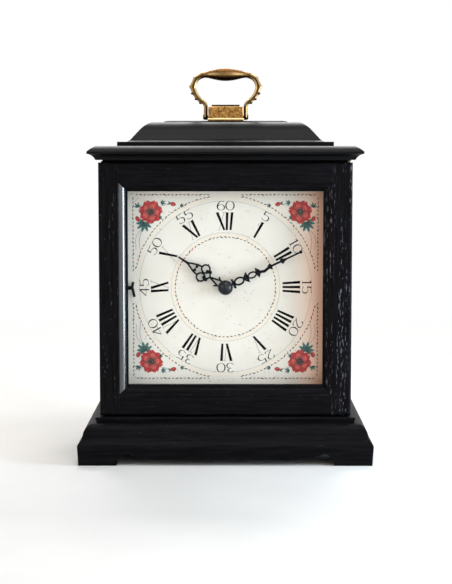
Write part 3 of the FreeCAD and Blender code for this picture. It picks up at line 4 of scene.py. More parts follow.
import bmesh
import bpy
import numpy as np
from mathutils import Euler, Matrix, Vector


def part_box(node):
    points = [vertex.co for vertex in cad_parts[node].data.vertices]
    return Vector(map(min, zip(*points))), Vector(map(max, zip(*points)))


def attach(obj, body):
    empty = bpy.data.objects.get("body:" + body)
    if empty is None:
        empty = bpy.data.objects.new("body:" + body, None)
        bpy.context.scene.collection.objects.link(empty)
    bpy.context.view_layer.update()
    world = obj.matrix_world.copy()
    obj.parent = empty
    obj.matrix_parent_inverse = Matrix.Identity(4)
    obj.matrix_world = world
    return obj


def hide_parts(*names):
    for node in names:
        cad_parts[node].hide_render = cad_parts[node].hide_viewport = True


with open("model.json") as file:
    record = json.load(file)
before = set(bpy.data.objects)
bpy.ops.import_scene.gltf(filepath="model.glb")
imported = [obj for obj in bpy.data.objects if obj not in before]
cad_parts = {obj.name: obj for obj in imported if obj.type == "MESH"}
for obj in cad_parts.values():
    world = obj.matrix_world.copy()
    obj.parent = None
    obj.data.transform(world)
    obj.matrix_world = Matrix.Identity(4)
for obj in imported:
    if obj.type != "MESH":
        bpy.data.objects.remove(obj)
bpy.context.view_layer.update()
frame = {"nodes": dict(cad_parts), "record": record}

# A bell-top table clock: materials, cast handle, painted dial, floor, light and camera.
# Shapes are worked out in millimetres in the CAD frame and become metres in the mesh.
MM = 0.001
NODES = frame["nodes"]


def corners(node):
    """A node's lowest and highest corner at rest, in millimetres."""
    low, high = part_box(node)
    return np.array(low) / MM, np.array(high) / MM


def linear(red, green, blue):
    """A colour written in screen values 0 to 255, as linear light with full alpha."""
    screen = np.array([red, green, blue]) / 255.0
    light = np.where(screen <= 0.04045, screen / 12.92, ((screen + 0.055) / 1.055) ** 2.4)
    return (*light.tolist(), 1.0)


# Shader building


class Socket:
    """A node socket with arithmetic: an expression on sockets adds the Math nodes that it needs."""

    def __init__(self, tree, link):
        self.tree = tree
        self.link = link

    def maths(self, operation, *values):
        node = self.tree.nodes.new("ShaderNodeMath")
        node.operation = operation
        for slot, value in zip(node.inputs, values):
            connect(self.tree, slot, value)
        return Socket(self.tree, node.outputs[0])

    def __add__(self, other):
        return self.maths("ADD", self, other)

    def __radd__(self, other):
        return self.maths("ADD", other, self)

    def __sub__(self, other):
        return self.maths("SUBTRACT", self, other)

    def __rsub__(self, other):
        return self.maths("SUBTRACT", other, self)

    def __mul__(self, other):
        return self.maths("MULTIPLY", self, other)

    def __rmul__(self, other):
        return self.maths("MULTIPLY", other, self)

    def __pow__(self, other):
        return self.maths("POWER", self, other)

    def __abs__(self):
        return self.maths("ABSOLUTE", self)

    def step(self, start, end):
        """A smooth rise from 0 at start to 1 at end; start may be the larger."""
        node = self.tree.nodes.new("ShaderNodeMapRange")
        node.interpolation_type = "SMOOTHSTEP"
        for name, value in (("Value", self), ("From Min", start), ("From Max", end)):
            connect(self.tree, node.inputs[name], value)
        return Socket(self.tree, node.outputs["Result"])

    def within(self, low, high, soft):
        """1 between two places and 0 outside them, with a soft change at each."""
        return self.step(low - soft, low + soft) * self.step(high + soft, high - soft)


def connect(tree, slot, value):
    """Link a socket to another one, or set its value."""
    if isinstance(value, Socket):
        tree.links.new(value.link, slot)
    else:
        slot.default_value = value


SOCKETS = {"metallic": "Metallic", "specular_ior_level": "Specular IOR Level",
           "coat_roughness": "Coat Roughness", "coat_ior": "Coat IOR"}


class Finish:
    """One material: its node tree, its main shader and the calls that add nodes to it."""

    def __init__(self, name, **constants):
        self.material = bpy.data.materials.new(name)
        self.material.use_nodes = True
        self.tree = self.material.node_tree
        self.shader = self.tree.nodes["Principled BSDF"]
        self.place = self.node("ShaderNodeTexCoord", output="Object")
        for key, value in constants.items():
            self.set(SOCKETS[key], value)

    def set(self, socket, value):
        connect(self.tree, self.shader.inputs[socket], value)

    def node(self, kind, settings=None, values=None, output=0):
        """Any node: its settings are set first, then the values or links of its sockets."""
        node = self.tree.nodes.new(kind)
        for key, value in (settings or {}).items():
            setattr(node, key, value)
        for key, value in (values or {}).items():
            connect(self.tree, node.inputs[key], value)
        return Socket(self.tree, node.outputs[output])

    def axes(self, vector):
        """The x, y and z of a vector."""
        split = self.tree.nodes.new("ShaderNodeSeparateXYZ")
        connect(self.tree, split.inputs[0], vector)
        return [Socket(self.tree, out) for out in split.outputs]

    def measures(self):
        """The place on the piece as x, y and z in millimetres."""
        return [axis * (1 / MM) for axis in self.axes(self.place)]

    def stretched(self, scale):
        """Object coordinates scaled by its own amount along each axis."""
        return self.node("ShaderNodeMapping", values={"Vector": self.place, "Scale": scale})

    def noise(self, scale, detail=2.0, roughness=0.5, vector=None):
        values = {"Vector": vector or self.place, "Scale": scale, "Detail": detail, "Roughness": roughness}
        return self.node("ShaderNodeTexNoise", values=values)

    def blend(self, share, first, second):
        """A colour that goes from the first to the second as share goes from 0 to 1."""
        return self.node("ShaderNodeMix", {"data_type": "RGBA"}, {0: share, 6: first, 7: second}, 2)

    def edges(self, radius):
        """How far an edge rounded by this radius turns the surface: 0 on a flat face, more along an edge."""
        self.rounded = self.node("ShaderNodeBevel", {"samples": 4}, {"Radius": radius * MM})
        straight = self.node("ShaderNodeNewGeometry", output="Normal")
        turn = self.node("ShaderNodeVectorMath", {"operation": "DOT_PRODUCT"},
                         {0: self.rounded, 1: straight}, "Value")
        return 1.0 - turn

    def bump(self, height, strength, depth):
        """Surface relief of this depth in millimetres, over the edges that were rounded before."""
        self.set("Normal", self.node("ShaderNodeBump", values={
            "Height": height, "Strength": strength, "Distance": depth * MM, "Normal": self.rounded}))


# Materials

GRAIN_STRETCH = 0.07
MARK_STRETCH = 0.20
COLUMN_STRETCH = 0.03
# Dark brown for tarnish in the bail's groove, and for painted shade on the brass
TARNISH_AND_SHADE = linear(30, 20, 11)


def along(axis, stretch=GRAIN_STRETCH):
    """Scales that draw a pattern out along one axis, 0 for X, 1 for Y, 2 for Z."""
    scale = [1.0, 1.0, 1.0]
    scale[axis] = stretch
    return scale


def ebonised_wood(name, axis, flecks, gloss, burnished=None):
    """Black stained open-pored wood: fine pores along the grain, some with pale filler, and worn edges.

    A strip between two places along X, in millimetres, may be burnished to a shine.
    """
    black, soft_black, pore_black = linear(4, 4, 5), linear(17, 16, 20), linear(3, 3, 3)
    filler, bare = linear(128, 126, 138), linear(120, 117, 120)
    wood = Finish(name, specular_ior_level=0.05, coat_roughness=0.18, coat_ior=1.9)
    grain = wood.stretched(along(axis))
    pores = wood.noise(2600.0, 2.0, 0.6, grain)
    streaks = wood.noise(420.0, 3.0, 0.6, grain)
    marks = wood.noise(900.0, 2.0, 0.6, wood.stretched(along(axis, MARK_STRETCH)))
    columns = wood.noise(330.0, 2.0, 0.5, wood.stretched(along(axis, COLUMN_STRETCH)))
    worn = wood.noise(260.0, 3.0, 0.7)
    edge = wood.edges(0.9)
    tone = wood.blend(streaks.step(0.35, 0.72), black, soft_black)
    tone = wood.blend(pores.step(0.56, 0.70) * 0.75, tone, pore_black)
    pale = marks.step(0.66 - 0.05 * flecks, 0.75 - 0.05 * flecks) * columns.step(0.47, 0.60)
    rubbed = edge.step(0.10, 0.40) * worn.step(0.50, 0.66)
    tone = wood.blend(pale * (0.12 + 0.19 * flecks), tone, filler)
    wood.set("Base Color", wood.blend(rubbed * 0.25, tone, bare))
    wood.set("Roughness", gloss + 0.16 * streaks + 0.14 * pores)
    if burnished:
        strip = wood.measures()[0].within(*burnished, 0.4)
        wood.set("Coat Weight", strip * (0.85 + 0.3 * streaks))
    wood.bump(streaks * 0.5 - pores.step(0.52, 0.70), 0.35, 0.10)
    return wood.material


def polished_wood(name):
    """Black stained wood rubbed to a semi-gloss: close grain, soft sheen changes and lightly worn edges."""
    black, soft_black = linear(4, 4, 5), linear(11, 11, 12)
    pale_dust, bare = linear(120, 118, 118), linear(110, 106, 104)
    wood = Finish(name, specular_ior_level=0.09)
    grain = wood.stretched(along(0))
    streaks = wood.noise(330.0, 3.0, 0.6, grain)
    cloud = wood.noise(30.0, 2.0)
    dust = wood.noise(1500.0, 1.0)
    edge = wood.edges(0.8)
    tone = wood.blend(streaks.step(0.3, 0.75), black, soft_black)
    tone = wood.blend(dust.step(0.75, 0.82) * 0.5, tone, pale_dust)
    wood.set("Base Color", wood.blend(edge.step(0.12, 0.45) * 0.20, tone, bare))
    wood.set("Roughness", 0.25 + 0.12 * cloud + 0.06 * streaks)
    wood.bump(streaks, 0.12, 0.05)
    return wood.material


def plain_wood(name):
    """Unfinished pale wood inside the case, with darker growth lines."""
    early, late, pore_brown = linear(186, 150, 108), linear(150, 108, 70), linear(98, 66, 42)
    wood = Finish(name)
    grain = wood.stretched(along(0))
    rings = wood.noise(160.0, 3.0, 0.6, grain)
    pores = wood.noise(1800.0, 2.0, 0.6, grain)
    wood.edges(0.5)
    tone = wood.blend(rings.step(0.3, 0.7), early, late)
    wood.set("Base Color", wood.blend(pores.step(0.58, 0.72) * 0.5, tone, pore_brown))
    wood.set("Roughness", 0.62 + 0.15 * pores)
    wood.bump(pores, 0.3, 0.08)
    return wood.material


def antique_brass(name, dark, light, worn, mottling=1.0, bands=(), masked=False):
    """Brass with a brown patina that is mottled on flats and rubbed bright along edges.

    A band is a low and a high place along Z in millimetres, a colour and its share: painted light and shade
    at set heights. A masked piece holds in its own colours how far each place is worn bright and given
    painted highlights, as red, and how far it carries tarnish and painted shade, as green.
    """
    brass = Finish(name, metallic=1.0)
    mottle = brass.noise(420.0, 4.0, 0.7)
    cloud = brass.noise(120.0, 2.0)
    grit = brass.noise(2400.0, 2.0)
    edge = brass.edges(0.9)
    tone = brass.blend(0.5 + mottling * (mottle.step(0.36, 0.64) - 0.5), dark, light)
    tone = brass.blend(cloud.step(0.40, 0.70) * 0.4 * mottling, tone, dark)
    # Painted light and shade in bands by height
    for low, high, colour, share in bands:
        inside = brass.measures()[2].within(low, high, 0.1)
        tone = brass.blend(inside * share, tone, colour)
    rubbed = edge.step(0.05, 0.35) * 0.8
    if masked:
        # Red holds wear and painted highlights, green tarnish and painted shade
        stored = brass.node("ShaderNodeAttribute", {"attribute_name": "paint"}, output="Color")
        red, green, _ = brass.axes(stored)
        tone = brass.blend(green, tone, TARNISH_AND_SHADE)
        rubbed = red
    brass.set("Base Color", brass.blend(rubbed, tone, worn))
    brass.set("Roughness", 0.27 + 0.22 * mottle - 0.10 * rubbed)
    brass.bump(mottle * 0.7 + grit * 0.3, 0.35 * mottling, 0.12)
    return brass.material


def movement_metal(name, dark, light, roughness, depth):
    """Machined metal of the movement: fine brush lines, faint staining and eased edges."""
    metal = Finish(name, metallic=1.0)
    brushed = metal.noise(1500.0, 2.0, 0.5, metal.stretched(along(0)))
    stain = metal.noise(90.0, 3.0, 0.6)
    edge = metal.edges(0.3)
    tone = metal.blend(stain.step(0.15, 0.95), light, dark)
    metal.set("Base Color", metal.blend(edge.step(0.1, 0.5) * 0.4, tone, light))
    metal.set("Roughness", roughness + 0.12 * brushed + 0.10 * stain)
    metal.bump(brushed, 0.2, depth)
    return metal.material


def blackened_steel(name, gloss, shine, dark, light):
    """Hands, nut and lever: black lacquer over steel, satin, with a trace of grey on the edges."""
    worn_grey = linear(60, 60, 66)
    steel = Finish(name, specular_ior_level=shine)
    cloud = steel.noise(300.0, 3.0, 0.6)
    edge = steel.edges(0.25)
    tone = steel.blend(cloud, dark, light)
    steel.set("Base Color", steel.blend(edge.step(0.1, 0.5) * 0.25, tone, worn_grey))
    steel.set("Roughness", gloss + 0.18 * cloud)
    steel.bump(cloud, 0.15, 0.05)
    return steel.material


def clear_glass(name):
    """Flat door glass: light goes straight through, under a faint, slightly streaked reflection."""
    glass = Finish(name)
    smear = glass.noise(22.0, 2.0)
    mirror = glass.node("ShaderNodeBsdfGlossy", values={"Color": (1, 1, 1, 1), "Roughness": 0.02})
    through = glass.node("ShaderNodeBsdfTransparent", values={"Color": (0.985, 0.99, 0.985, 1)})
    share = glass.node("ShaderNodeFresnel", values={"IOR": 1.45}) * (0.03 + 0.06 * smear)
    mixed = glass.node("ShaderNodeMixShader", values={0: share, 1: through, 2: mirror})
    output = glass.tree.nodes["Material Output"]
    glass.tree.nodes.remove(glass.shader)
    connect(glass.tree, output.inputs["Surface"], mixed)
    return glass.material


# Dial measures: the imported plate's own, then those of the rings, numbers and borders on it

dial_low, dial_high = corners("dial_plate")
DIAL_FACE = dial_low[1]
DIAL_Z = (dial_low[2] + dial_high[2]) / 2
DIAL_HALF = dial_high[0]
MINUTE_RING = 76.2
HOUR_RING = 48.2
VINE_RING = 44.4
NUMERAL_FOOT = 50.6
NUMERAL_HEIGHT = 15.4
MINUTE_FOOT = 67.9
MINUTE_HEIGHT = 8.3
BORDER_HALF = 81.6
BORDER_ARC = 81.0
BORDER_GAP = 15.2


def painted_dial(name):
    """Ivory enamel paint: pale tint bands beside the rings, browner towards the top, painted warm light at
    the right, and small specks.

    Behind the painted face the plate is dull grey metal.
    """
    ivory, deep_ivory, cream = linear(245, 239, 230), linear(239, 232, 222), linear(250, 229, 200)
    painted_warm_light, brown_edge = linear(252, 184, 150), linear(214, 196, 166)
    dirt, metal = linear(110, 100, 84), linear(128, 127, 124)
    paint = Finish(name)
    x, y, z = paint.measures()
    z = z - DIAL_Z
    behind = y.step(DIAL_FACE + 0.2, DIAL_FACE + 0.4)
    radius = (x * x + z * z) ** 0.5
    cloud = paint.noise(24.0, 3.0, 0.6)
    speck = paint.noise(700.0, 1.0)
    seldom = paint.noise(60.0, 2.0)
    tone = paint.blend(cloud.step(0.3, 0.7), ivory, deep_ivory)
    for middle, half in ((0.5 * (HOUR_RING + VINE_RING), 1.7), (BORDER_ARC - 2.3, 1.2)):
        band = abs(radius - middle).step(half + 0.5, half - 0.5)
        tone = paint.blend(band * 0.28, tone, cream)
    # A painted warm light along the right edge; towards the top edge the tint only turns browner.
    right = x.step(0.62 * DIAL_HALF, 1.05 * DIAL_HALF)
    top = z.step(0.72 * DIAL_HALF, 1.08 * DIAL_HALF)
    tone = paint.blend(right * 0.90, tone, painted_warm_light)
    tone = paint.blend(top * 0.20, tone, brown_edge)
    marks = speck.step(0.69, 0.75) * seldom.step(0.48, 0.58)
    tone = paint.blend(marks * 0.70, tone, dirt)
    paint.set("Base Color", paint.blend(behind, tone, metal))
    paint.set("Roughness", 0.42 + 0.16 * cloud)
    paint.edges(0.3)
    paint.bump(cloud * 0.4 + speck * 0.1, 0.15, 0.06)
    return paint.material


def ink(name, dark, light):
    """Printed ink: two near tones, where the print is a little starved, over a dry surface."""
    print_ink = Finish(name, specular_ior_level=0.04)
    starved = print_ink.noise(850.0, 2.0)
    print_ink.set("Base Color", print_ink.blend(starved.step(0.45, 0.75), dark, light))
    print_ink.set("Roughness", 0.5 + 0.2 * starved)
    return print_ink.material


def brush_paint(name):
    """Hand-painted ornament: the colour stored in the mesh, with the uneven depth of brush strokes."""
    thin_paint = linear(250, 225, 205)
    paint = Finish(name)
    stored = paint.node("ShaderNodeAttribute", {"attribute_name": "paint"}, output="Color")
    strokes = paint.noise(1100.0, 3.0, 0.6)
    lighter = paint.blend(0.12, stored, thin_paint)
    paint.set("Base Color", paint.blend(strokes.step(0.42, 0.72), stored, lighter))
    paint.set("Roughness", 0.45 + 0.2 * strokes)
    return paint.material


# Mesh building


def grid_faces(rows, columns, close_rows=False, close_columns=False):
    """Quads between neighbouring points of a grid. A closed side joins its last line to its first."""
    row = np.arange(rows if close_rows else rows - 1)
    column = np.arange(columns if close_columns else columns - 1)
    row, column = np.meshgrid(row, column, indexing="ij")
    next_row = (row + 1) % rows
    next_column = (column + 1) % columns
    around = [row * columns + column, row * columns + next_column,
              next_row * columns + next_column, next_row * columns + column]
    return np.stack(around, -1).reshape(-1, 4).tolist()


def joined(shapes):
    """Several (points, faces) shapes as one, each one's faces counted on from the points before it."""
    points, faces, start = [], [], 0
    for shape_points, shape_faces in shapes:
        points.append(shape_points)
        faces += [[start + index for index in face] for face in shape_faces]
        start += len(shape_points)
    return np.vstack(points), faces


def piece(name, shape, body, material, smooth=False, colours=None):
    """A mesh of millimetre points that rides on a body, with its faces turned outwards."""
    points, faces = shape
    mesh = bpy.data.meshes.new(name)
    mesh.from_pydata((points * MM).tolist(), [], faces)
    if colours is not None:
        layer = mesh.color_attributes.new("paint", "FLOAT_COLOR", "POINT")
        layer.data.foreach_set("color", colours.ravel())
    editable = bmesh.new()
    editable.from_mesh(mesh)
    bmesh.ops.recalc_face_normals(editable, faces=editable.faces)
    editable.to_mesh(mesh)
    editable.free()
    mesh.polygons.foreach_set("use_smooth", [smooth] * len(mesh.polygons))
    mesh.materials.append(material)
    made = bpy.data.objects.new(name, mesh)
    bpy.context.scene.collection.objects.link(made)
    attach(made, body)
    return made


# Cast handle

block_low, block_high = corners("handle_block")
bail_low, bail_high = corners("handle_bail")
HANDLE_Y = (bail_low[1] + bail_high[1]) / 2

# Painted light and shade on the block's brass, by height: painted shade on its foot, a painted highlight
# along the rim, a painted shadow line over the rim, and painted shade on the top plate
BLOCK_RIM = 2.4
BLOCK_PLATE = 1.9
BLOCK_LIGHT_AND_SHADE = ((block_low[2] - 0.5, block_low[2] + 0.5 * BLOCK_RIM, TARNISH_AND_SHADE, 0.5),
               (block_low[2] + 0.5 * BLOCK_RIM, block_low[2] + BLOCK_RIM, linear(250, 224, 168), 0.8),
               (block_low[2] + BLOCK_RIM + 0.1, block_low[2] + BLOCK_RIM + 0.8, TARNISH_AND_SHADE, 0.4),
               (block_high[2] - BLOCK_PLATE, block_high[2] + 0.5, TARNISH_AND_SHADE, 0.85))

ARM_HALF_DEPTH = 2.8
EYE_GAP = 0.5
LEG_WIDTH = 2.8
LEG_X = block_high[0] + EYE_GAP + LEG_WIDTH / 2
LEG_RADIUS = 1.75
PIVOT_Z = bail_low[2] + ARM_HALF_DEPTH
GRIP_RADIUS = 5.8
GRIP_END = 2.4
GRIP_HALF = 20.0
GRIP_RISE = bail_high[2] - GRIP_RADIUS - PIVOT_Z
BOW_DEPTH = 2.5
BOW_MIDDLE = 25.8
BOW_FOOT = (9.0, 22.0)
GRIP_LEVEL = BOW_MIDDLE + 7.0
LINE_POINTS = 480
SECTION_POINTS = 40
GROOVE = 0.25

# The beads on a bow, each as its angle about the bow's middle, height, half width in degrees, and power
BEADS = ((77.0, 0.7, 7.0, 1.2), (43.0, 1.0, 7.0, 1.2), (6.5, 1.9, 7.0, 1.2),
         (-21.0, 1.4, 5.0, 2.0), (-49.0, 1.4, 5.0, 2.0), (-72.0, 1.3, 5.0, 2.0))

# Middle line of one half of the bail, from under its eye to the grip's middle: x, and the rise over the pivot
BAIL_KNOTS = ((LEG_X, -ARM_HALF_DEPTH), (LEG_X, 0.0), (LEG_X, 4.0), (LEG_X, 8.0), (LEG_X + 0.2, 10.4),
              (19.6, 12.6), (23.2, 15.3), (26.8, 19.4), (28.8, 23.9), (29.2, 27.0), (28.3, 30.9),
              (25.6, 34.7), (20.6, 37.2), (15.0, GRIP_RISE - 0.05), (7.0, GRIP_RISE), (0.0, GRIP_RISE))


def smooth_line(knots, count):
    """A line through the knots: cubic runs, whose slope at a knot is half the chord of its neighbours."""
    knots = np.array(knots, float)
    ends = np.vstack([2 * knots[0] - knots[1], knots, 2 * knots[-1] - knots[-2]])
    place = np.linspace(0.0, len(knots) - 1.0, count)
    run = np.minimum(place.astype(int), len(knots) - 2)
    t = (place - run)[:, None]
    before, start, end, after = (ends[run + shift] for shift in range(4))
    return 0.5 * (2 * start + (end - before) * t + (2 * before - 5 * start + 4 * end - after) * t ** 2
                  + (3 * (start - end) + after - before) * t ** 3)


def left_of(paths):
    """Unit vectors square to each path, on its left: the run between neighbouring points, turned."""
    run = np.gradient(paths, axis=-2)
    return np.stack([-run[..., 1], run[..., 0]], -1) / np.linalg.norm(run, axis=-1, keepdims=True)


def superellipse(count, power):
    """Signed cosine and sine raised to 2 / power: an ellipse at power 2, squarer above it."""
    angle = np.linspace(0.0, 2 * np.pi, count, endpoint=False)
    across, up = np.cos(angle), np.sin(angle)
    return np.sign(across) * abs(across) ** (2 / power), np.sign(up) * abs(up) ** (2 / power)


def ramp(values, start, end):
    """A straight rise from 0 at start to 1 at end."""
    return np.clip((values - start) / (end - start), 0.0, 1.0)


def bell(values, middle, width):
    """A bell-shaped rise to 1 at the middle: the exponential of minus the square of the distance."""
    return np.exp(-((values - middle) / width) ** 2)


class Bail:
    """The cast bail: a soft superellipse carried from eye to eye, up a leg, round the bow, along the grip."""

    def __init__(self):
        """Work out the measures along the line, in columns beside the section's points.

        Each bead on a bow falls off on both sides as an exponential of the angle about the bow's middle, and
        a bell-shaped groove runs along the bow's flanks.
        """
        knots = list(BAIL_KNOTS) + [(-x, rise) for x, rise in reversed(BAIL_KNOTS[:-1])]
        self.line = smooth_line(knots, LINE_POINTS)
        self.across, self.up = superellipse(SECTION_POINTS, 2.5)
        self.side, self.rise = abs(self.line[:, :1]), self.line[:, 1:]
        self.over = self.rise > GRIP_LEVEL
        self.angle = np.degrees(np.arctan2(self.rise - BOW_MIDDLE, self.side - LEG_X))
        beads = [height * np.exp(-(abs(self.angle - bead) / width) ** power)
                 for bead, height, width, power in BEADS]
        self.beads = np.where(self.rise > BOW_FOOT[0] + 1.0, np.max(beads, axis=0), 0.0)
        self.grip = np.where(self.over, ramp(self.side, GRIP_HALF + 2.0, GRIP_HALF - 6.0), 0.0)
        self.leg = ramp(self.rise, BOW_FOOT[0] + 3.0, BOW_FOOT[0])
        self.bow = (1 - self.grip) * (1 - self.leg)
        self.groove = self.bow * bell(self.across, 0.0, 0.22)

    def shape(self):
        """Points and faces: the grip swells as a power of a cosine, and the eye's depth is a half circle."""
        turn = 0.5 * np.pi * ramp(self.side, 0.0, GRIP_HALF)
        swell = GRIP_END + (GRIP_RADIUS - GRIP_END) * np.cos(turn) ** 1.3
        climb = ramp(self.rise, *BOW_FOOT)
        half = np.where(self.over, swell, LEG_RADIUS + (GRIP_END - LEG_RADIUS) * climb)
        eye = np.sqrt(np.clip(1 - (np.clip(self.rise, None, 0) / ARM_HALF_DEPTH) ** 2, 0.02, 1.0))
        depth = ARM_HALF_DEPTH * eye + (BOW_DEPTH - ARM_HALF_DEPTH) * climb
        depth = depth * (1 - self.grip) + swell * self.grip
        reach = np.where(self.across > 0, half + self.beads, half) * self.across
        outward = -left_of(self.line)
        points = np.stack([self.line[:, :1] + outward[:, :1] * reach,
                           HANDLE_Y + depth * self.up * (1 - GROOVE * self.groove),
                           PIVOT_Z + self.rise + outward[:, 1:] * reach], -1)
        rows, columns = points.shape[:2]
        faces = grid_faces(rows, columns, close_columns=True)
        faces += [list(range(columns)), list(range((rows - 1) * columns, rows * columns))]
        return points.reshape(-1, 3), faces

    def wear(self):
        """Colours that hold wear and painted highlights, as red, and tarnish and painted shade, as green.

        The bow's rims and upper beads are worn bright and carry painted highlights; the legs' outsides and a
        line along the grip are painted highlights. The groove holds tarnish; the lower beads, the eyes, the
        insides of the legs and the underside of the grip are painted shade.
        """
        # The lower beads, whose tips get painted shade
        low = ramp(self.angle, 0.0, -14.0)
        beaded = ramp(self.beads, 0.35, 0.8) * ramp(self.across, 0.3, 0.6)
        # Painted shade under the grip and on the bow's inner side near the top
        under = ramp(self.across, -0.14, -0.40) * np.where(self.over, ramp(self.angle, 40.0, 70.0), 0.0)
        # A painted highlight along the grip
        shine = bell(self.across, 0.08, 0.17) * (0.3 + 0.7 * bell(self.side, 11.5, 5.0))
        # The rims: worn bright, with painted highlights
        inner_rim = 0.75 * ramp(self.across, -0.28, -0.45)
        outer_rim = 0.45 * ramp(self.across, 0.35, 0.6) * (1 - low * beaded)
        # A painted highlight on the legs' outsides; painted shade on their insides and under the eyes
        outside = 0.35 * bell(self.across, 0.45, 0.35)
        inside = np.maximum(0.9 * ramp(self.across, 0.1, -0.2), ramp(self.rise, 1.0, -0.8))
        # Wear with painted highlights, then tarnish in the groove with painted shade
        worn = self.bow * (inner_rim + outer_rim) + self.leg * outside + 0.75 * self.grip * shine
        tarnish_and_painted_shade = 0.8 * self.groove + 0.9 * self.bow * low * beaded + 0.9 * under + self.leg * inside
        colours = np.zeros((LINE_POINTS, SECTION_POINTS, 4))
        colours[..., 0] = worn * (1 - under)
        colours[..., 1] = np.clip(tarnish_and_painted_shade, 0, 1)
        return colours.reshape(-1, 4)


# Painted dial

INK_FRONT = DIAL_FACE - 0.05
INK_BACK = DIAL_FACE + 0.05
STROKE_POINTS = 25


def ribbons(paths, widths, front=INK_FRONT, back=INK_BACK):
    """Flat strokes of ink. paths is (strokes, points, 2) in x and z on the dial, widths (strokes, points).

    Each point moves half a width to either side of its path, and the four lines so made, front and back, are
    the section that is carried along the path.
    """
    side = left_of(paths)
    half = np.broadcast_to(widths, paths.shape[:2])[..., None] / 2
    lines = []
    for edge, y in ((1, front), (-1, front), (-1, back), (1, back)):
        flat = paths + edge * side * half
        lines.append(np.stack([flat[..., 0], np.full(flat.shape[:2], y), flat[..., 1] + DIAL_Z], -1))
    section = np.stack(lines, 2)
    strokes, count = paths.shape[:2]
    faces = grid_faces(count, 4, close_columns=True)
    faces += [[0, 1, 2, 3], [4 * count - 1, 4 * count - 2, 4 * count - 3, 4 * count - 4]]
    starts = np.arange(strokes) * 4 * count
    every = (np.array(faces)[None] + starts[:, None, None]).reshape(-1, 4)
    return section.reshape(-1, 3), every.tolist()


def pen_line(*knots):
    return smooth_line(knots, STROKE_POINTS)


def pen_width(path, hair, bold):
    """A broad pen: hair wide along the level, bold wide along the upright, by the sine of the direction."""
    return hair + (bold - hair) * abs(left_of(path)[:, 0]) ** 1.6


def oval(x, y, half_width, half_height):
    angle = np.linspace(0.5 * np.pi, 2.5 * np.pi, STROKE_POINTS)
    return np.stack([x + half_width * np.cos(angle), y + half_height * np.sin(angle)], 1)


# Minute figures as pen lines in a box one unit high
FIGURES = {
    "0": [oval(0.40, 0.50, 0.36, 0.48)],
    "1": [pen_line((0.08, 0.82), (0.17, 0.90), (0.26, 0.99)), pen_line((0.26, 1.0), (0.26, 0.0)),
          pen_line((0.08, 0.01), (0.44, 0.01))],
    "2": [pen_line((0.08, 0.74), (0.16, 0.92), (0.38, 0.99), (0.62, 0.88), (0.64, 0.66), (0.44, 0.38),
                   (0.05, 0.02)),
          pen_line((0.05, 0.02), (0.20, 0.09), (0.42, 0.03), (0.62, 0.02), (0.72, 0.18))],
    "3": [pen_line((0.10, 0.86), (0.32, 0.99), (0.56, 0.86), (0.52, 0.64), (0.28, 0.55)),
          pen_line((0.28, 0.55), (0.56, 0.49), (0.68, 0.28), (0.56, 0.07), (0.32, 0.01), (0.08, 0.14))],
    "4": [pen_line((0.56, 1.0), (0.30, 0.65), (0.03, 0.30)), pen_line((0.03, 0.30), (0.76, 0.30)),
          pen_line((0.56, 1.0), (0.56, 0.0))],
    "5": [pen_line((0.16, 0.97), (0.36, 0.92), (0.54, 0.95), (0.64, 1.02)),
          pen_line((0.16, 0.97), (0.15, 0.76), (0.14, 0.55)),
          pen_line((0.14, 0.55), (0.34, 0.63), (0.58, 0.55), (0.68, 0.32), (0.58, 0.08), (0.34, 0.01),
                   (0.08, 0.14))],
    "6": [pen_line((0.64, 0.90), (0.46, 0.99), (0.24, 0.85), (0.10, 0.56), (0.09, 0.32)),
          oval(0.40, 0.31, 0.31, 0.30)],
}
USUAL_STEP = 0.80
FIGURE_STEP = {"1": 0.52}
FIGURE_WIDEN = 1.2
FIGURE_HAIR = 0.28
FIGURE_BOLD = 1.05
HOUR_NUMERALS = ("XII", "I", "II", "III", "IIII", "V", "VI", "VII", "VIII", "IX", "X", "XI")
NUMERAL_STEP = {"I": 3.85, "V": 6.3, "X": 6.5}
LETTER_MARGIN = 0.6
FOOT_SHIFT = 0.6
BOLD = 2.1
HAIR = 0.24
SERIF = 0.7 * HAIR
SERIF_HALF = 1.35
RING_WIDTH = 0.22
RING_POINTS = 241


def on_dial(path, foot, degrees):
    """Turn a path that stands upright on the level so that it stands outwards on a ring, at a clock angle."""
    angle = math.radians(degrees)
    up = np.array([math.sin(angle), math.cos(angle)])
    right = np.array([math.cos(angle), -math.sin(angle)])
    return path[:, :1] * right + (foot + path[:, 1:]) * up


def minute_figures():
    """The numbers 5 to 60 round the minute ring, heads outwards, in thin and bold pen lines."""
    paths, widths = [], []
    for place in range(1, 13):
        word = str(5 * place)
        steps = [FIGURE_STEP.get(figure, USUAL_STEP) for figure in word]
        start = -sum(steps) / 2
        for figure, step in zip(word, steps):
            for line in FIGURES[figure]:
                line = (line + (start, 0.0)) * (FIGURE_WIDEN * MINUTE_HEIGHT, MINUTE_HEIGHT)
                widths.append(pen_width(line, FIGURE_HAIR, FIGURE_BOLD))
                paths.append(on_dial(line, MINUTE_FOOT, 30.0 * place))
            start += step
    return ribbons(np.array(paths), np.array(widths))


def numeral_strokes(letter, x):
    """One letter's strokes as (start, end, width): bold stems and hairline thin strokes."""
    top = NUMERAL_HEIGHT
    if letter == "I":
        middle = x + 0.5 * NUMERAL_STEP["I"]
        return [((middle, 0.0), (middle, top), BOLD)]
    right = x + NUMERAL_STEP[letter] - LETTER_MARGIN
    left = x + LETTER_MARGIN
    if letter == "V":
        foot = 0.5 * (left + right) + FOOT_SHIFT
        return [((left, top), (foot, 0.0), BOLD), ((foot, 0.0), (right, top), HAIR)]
    return [((left, top), (right, 0.0), BOLD), ((left, 0.0), (right, top), HAIR)]


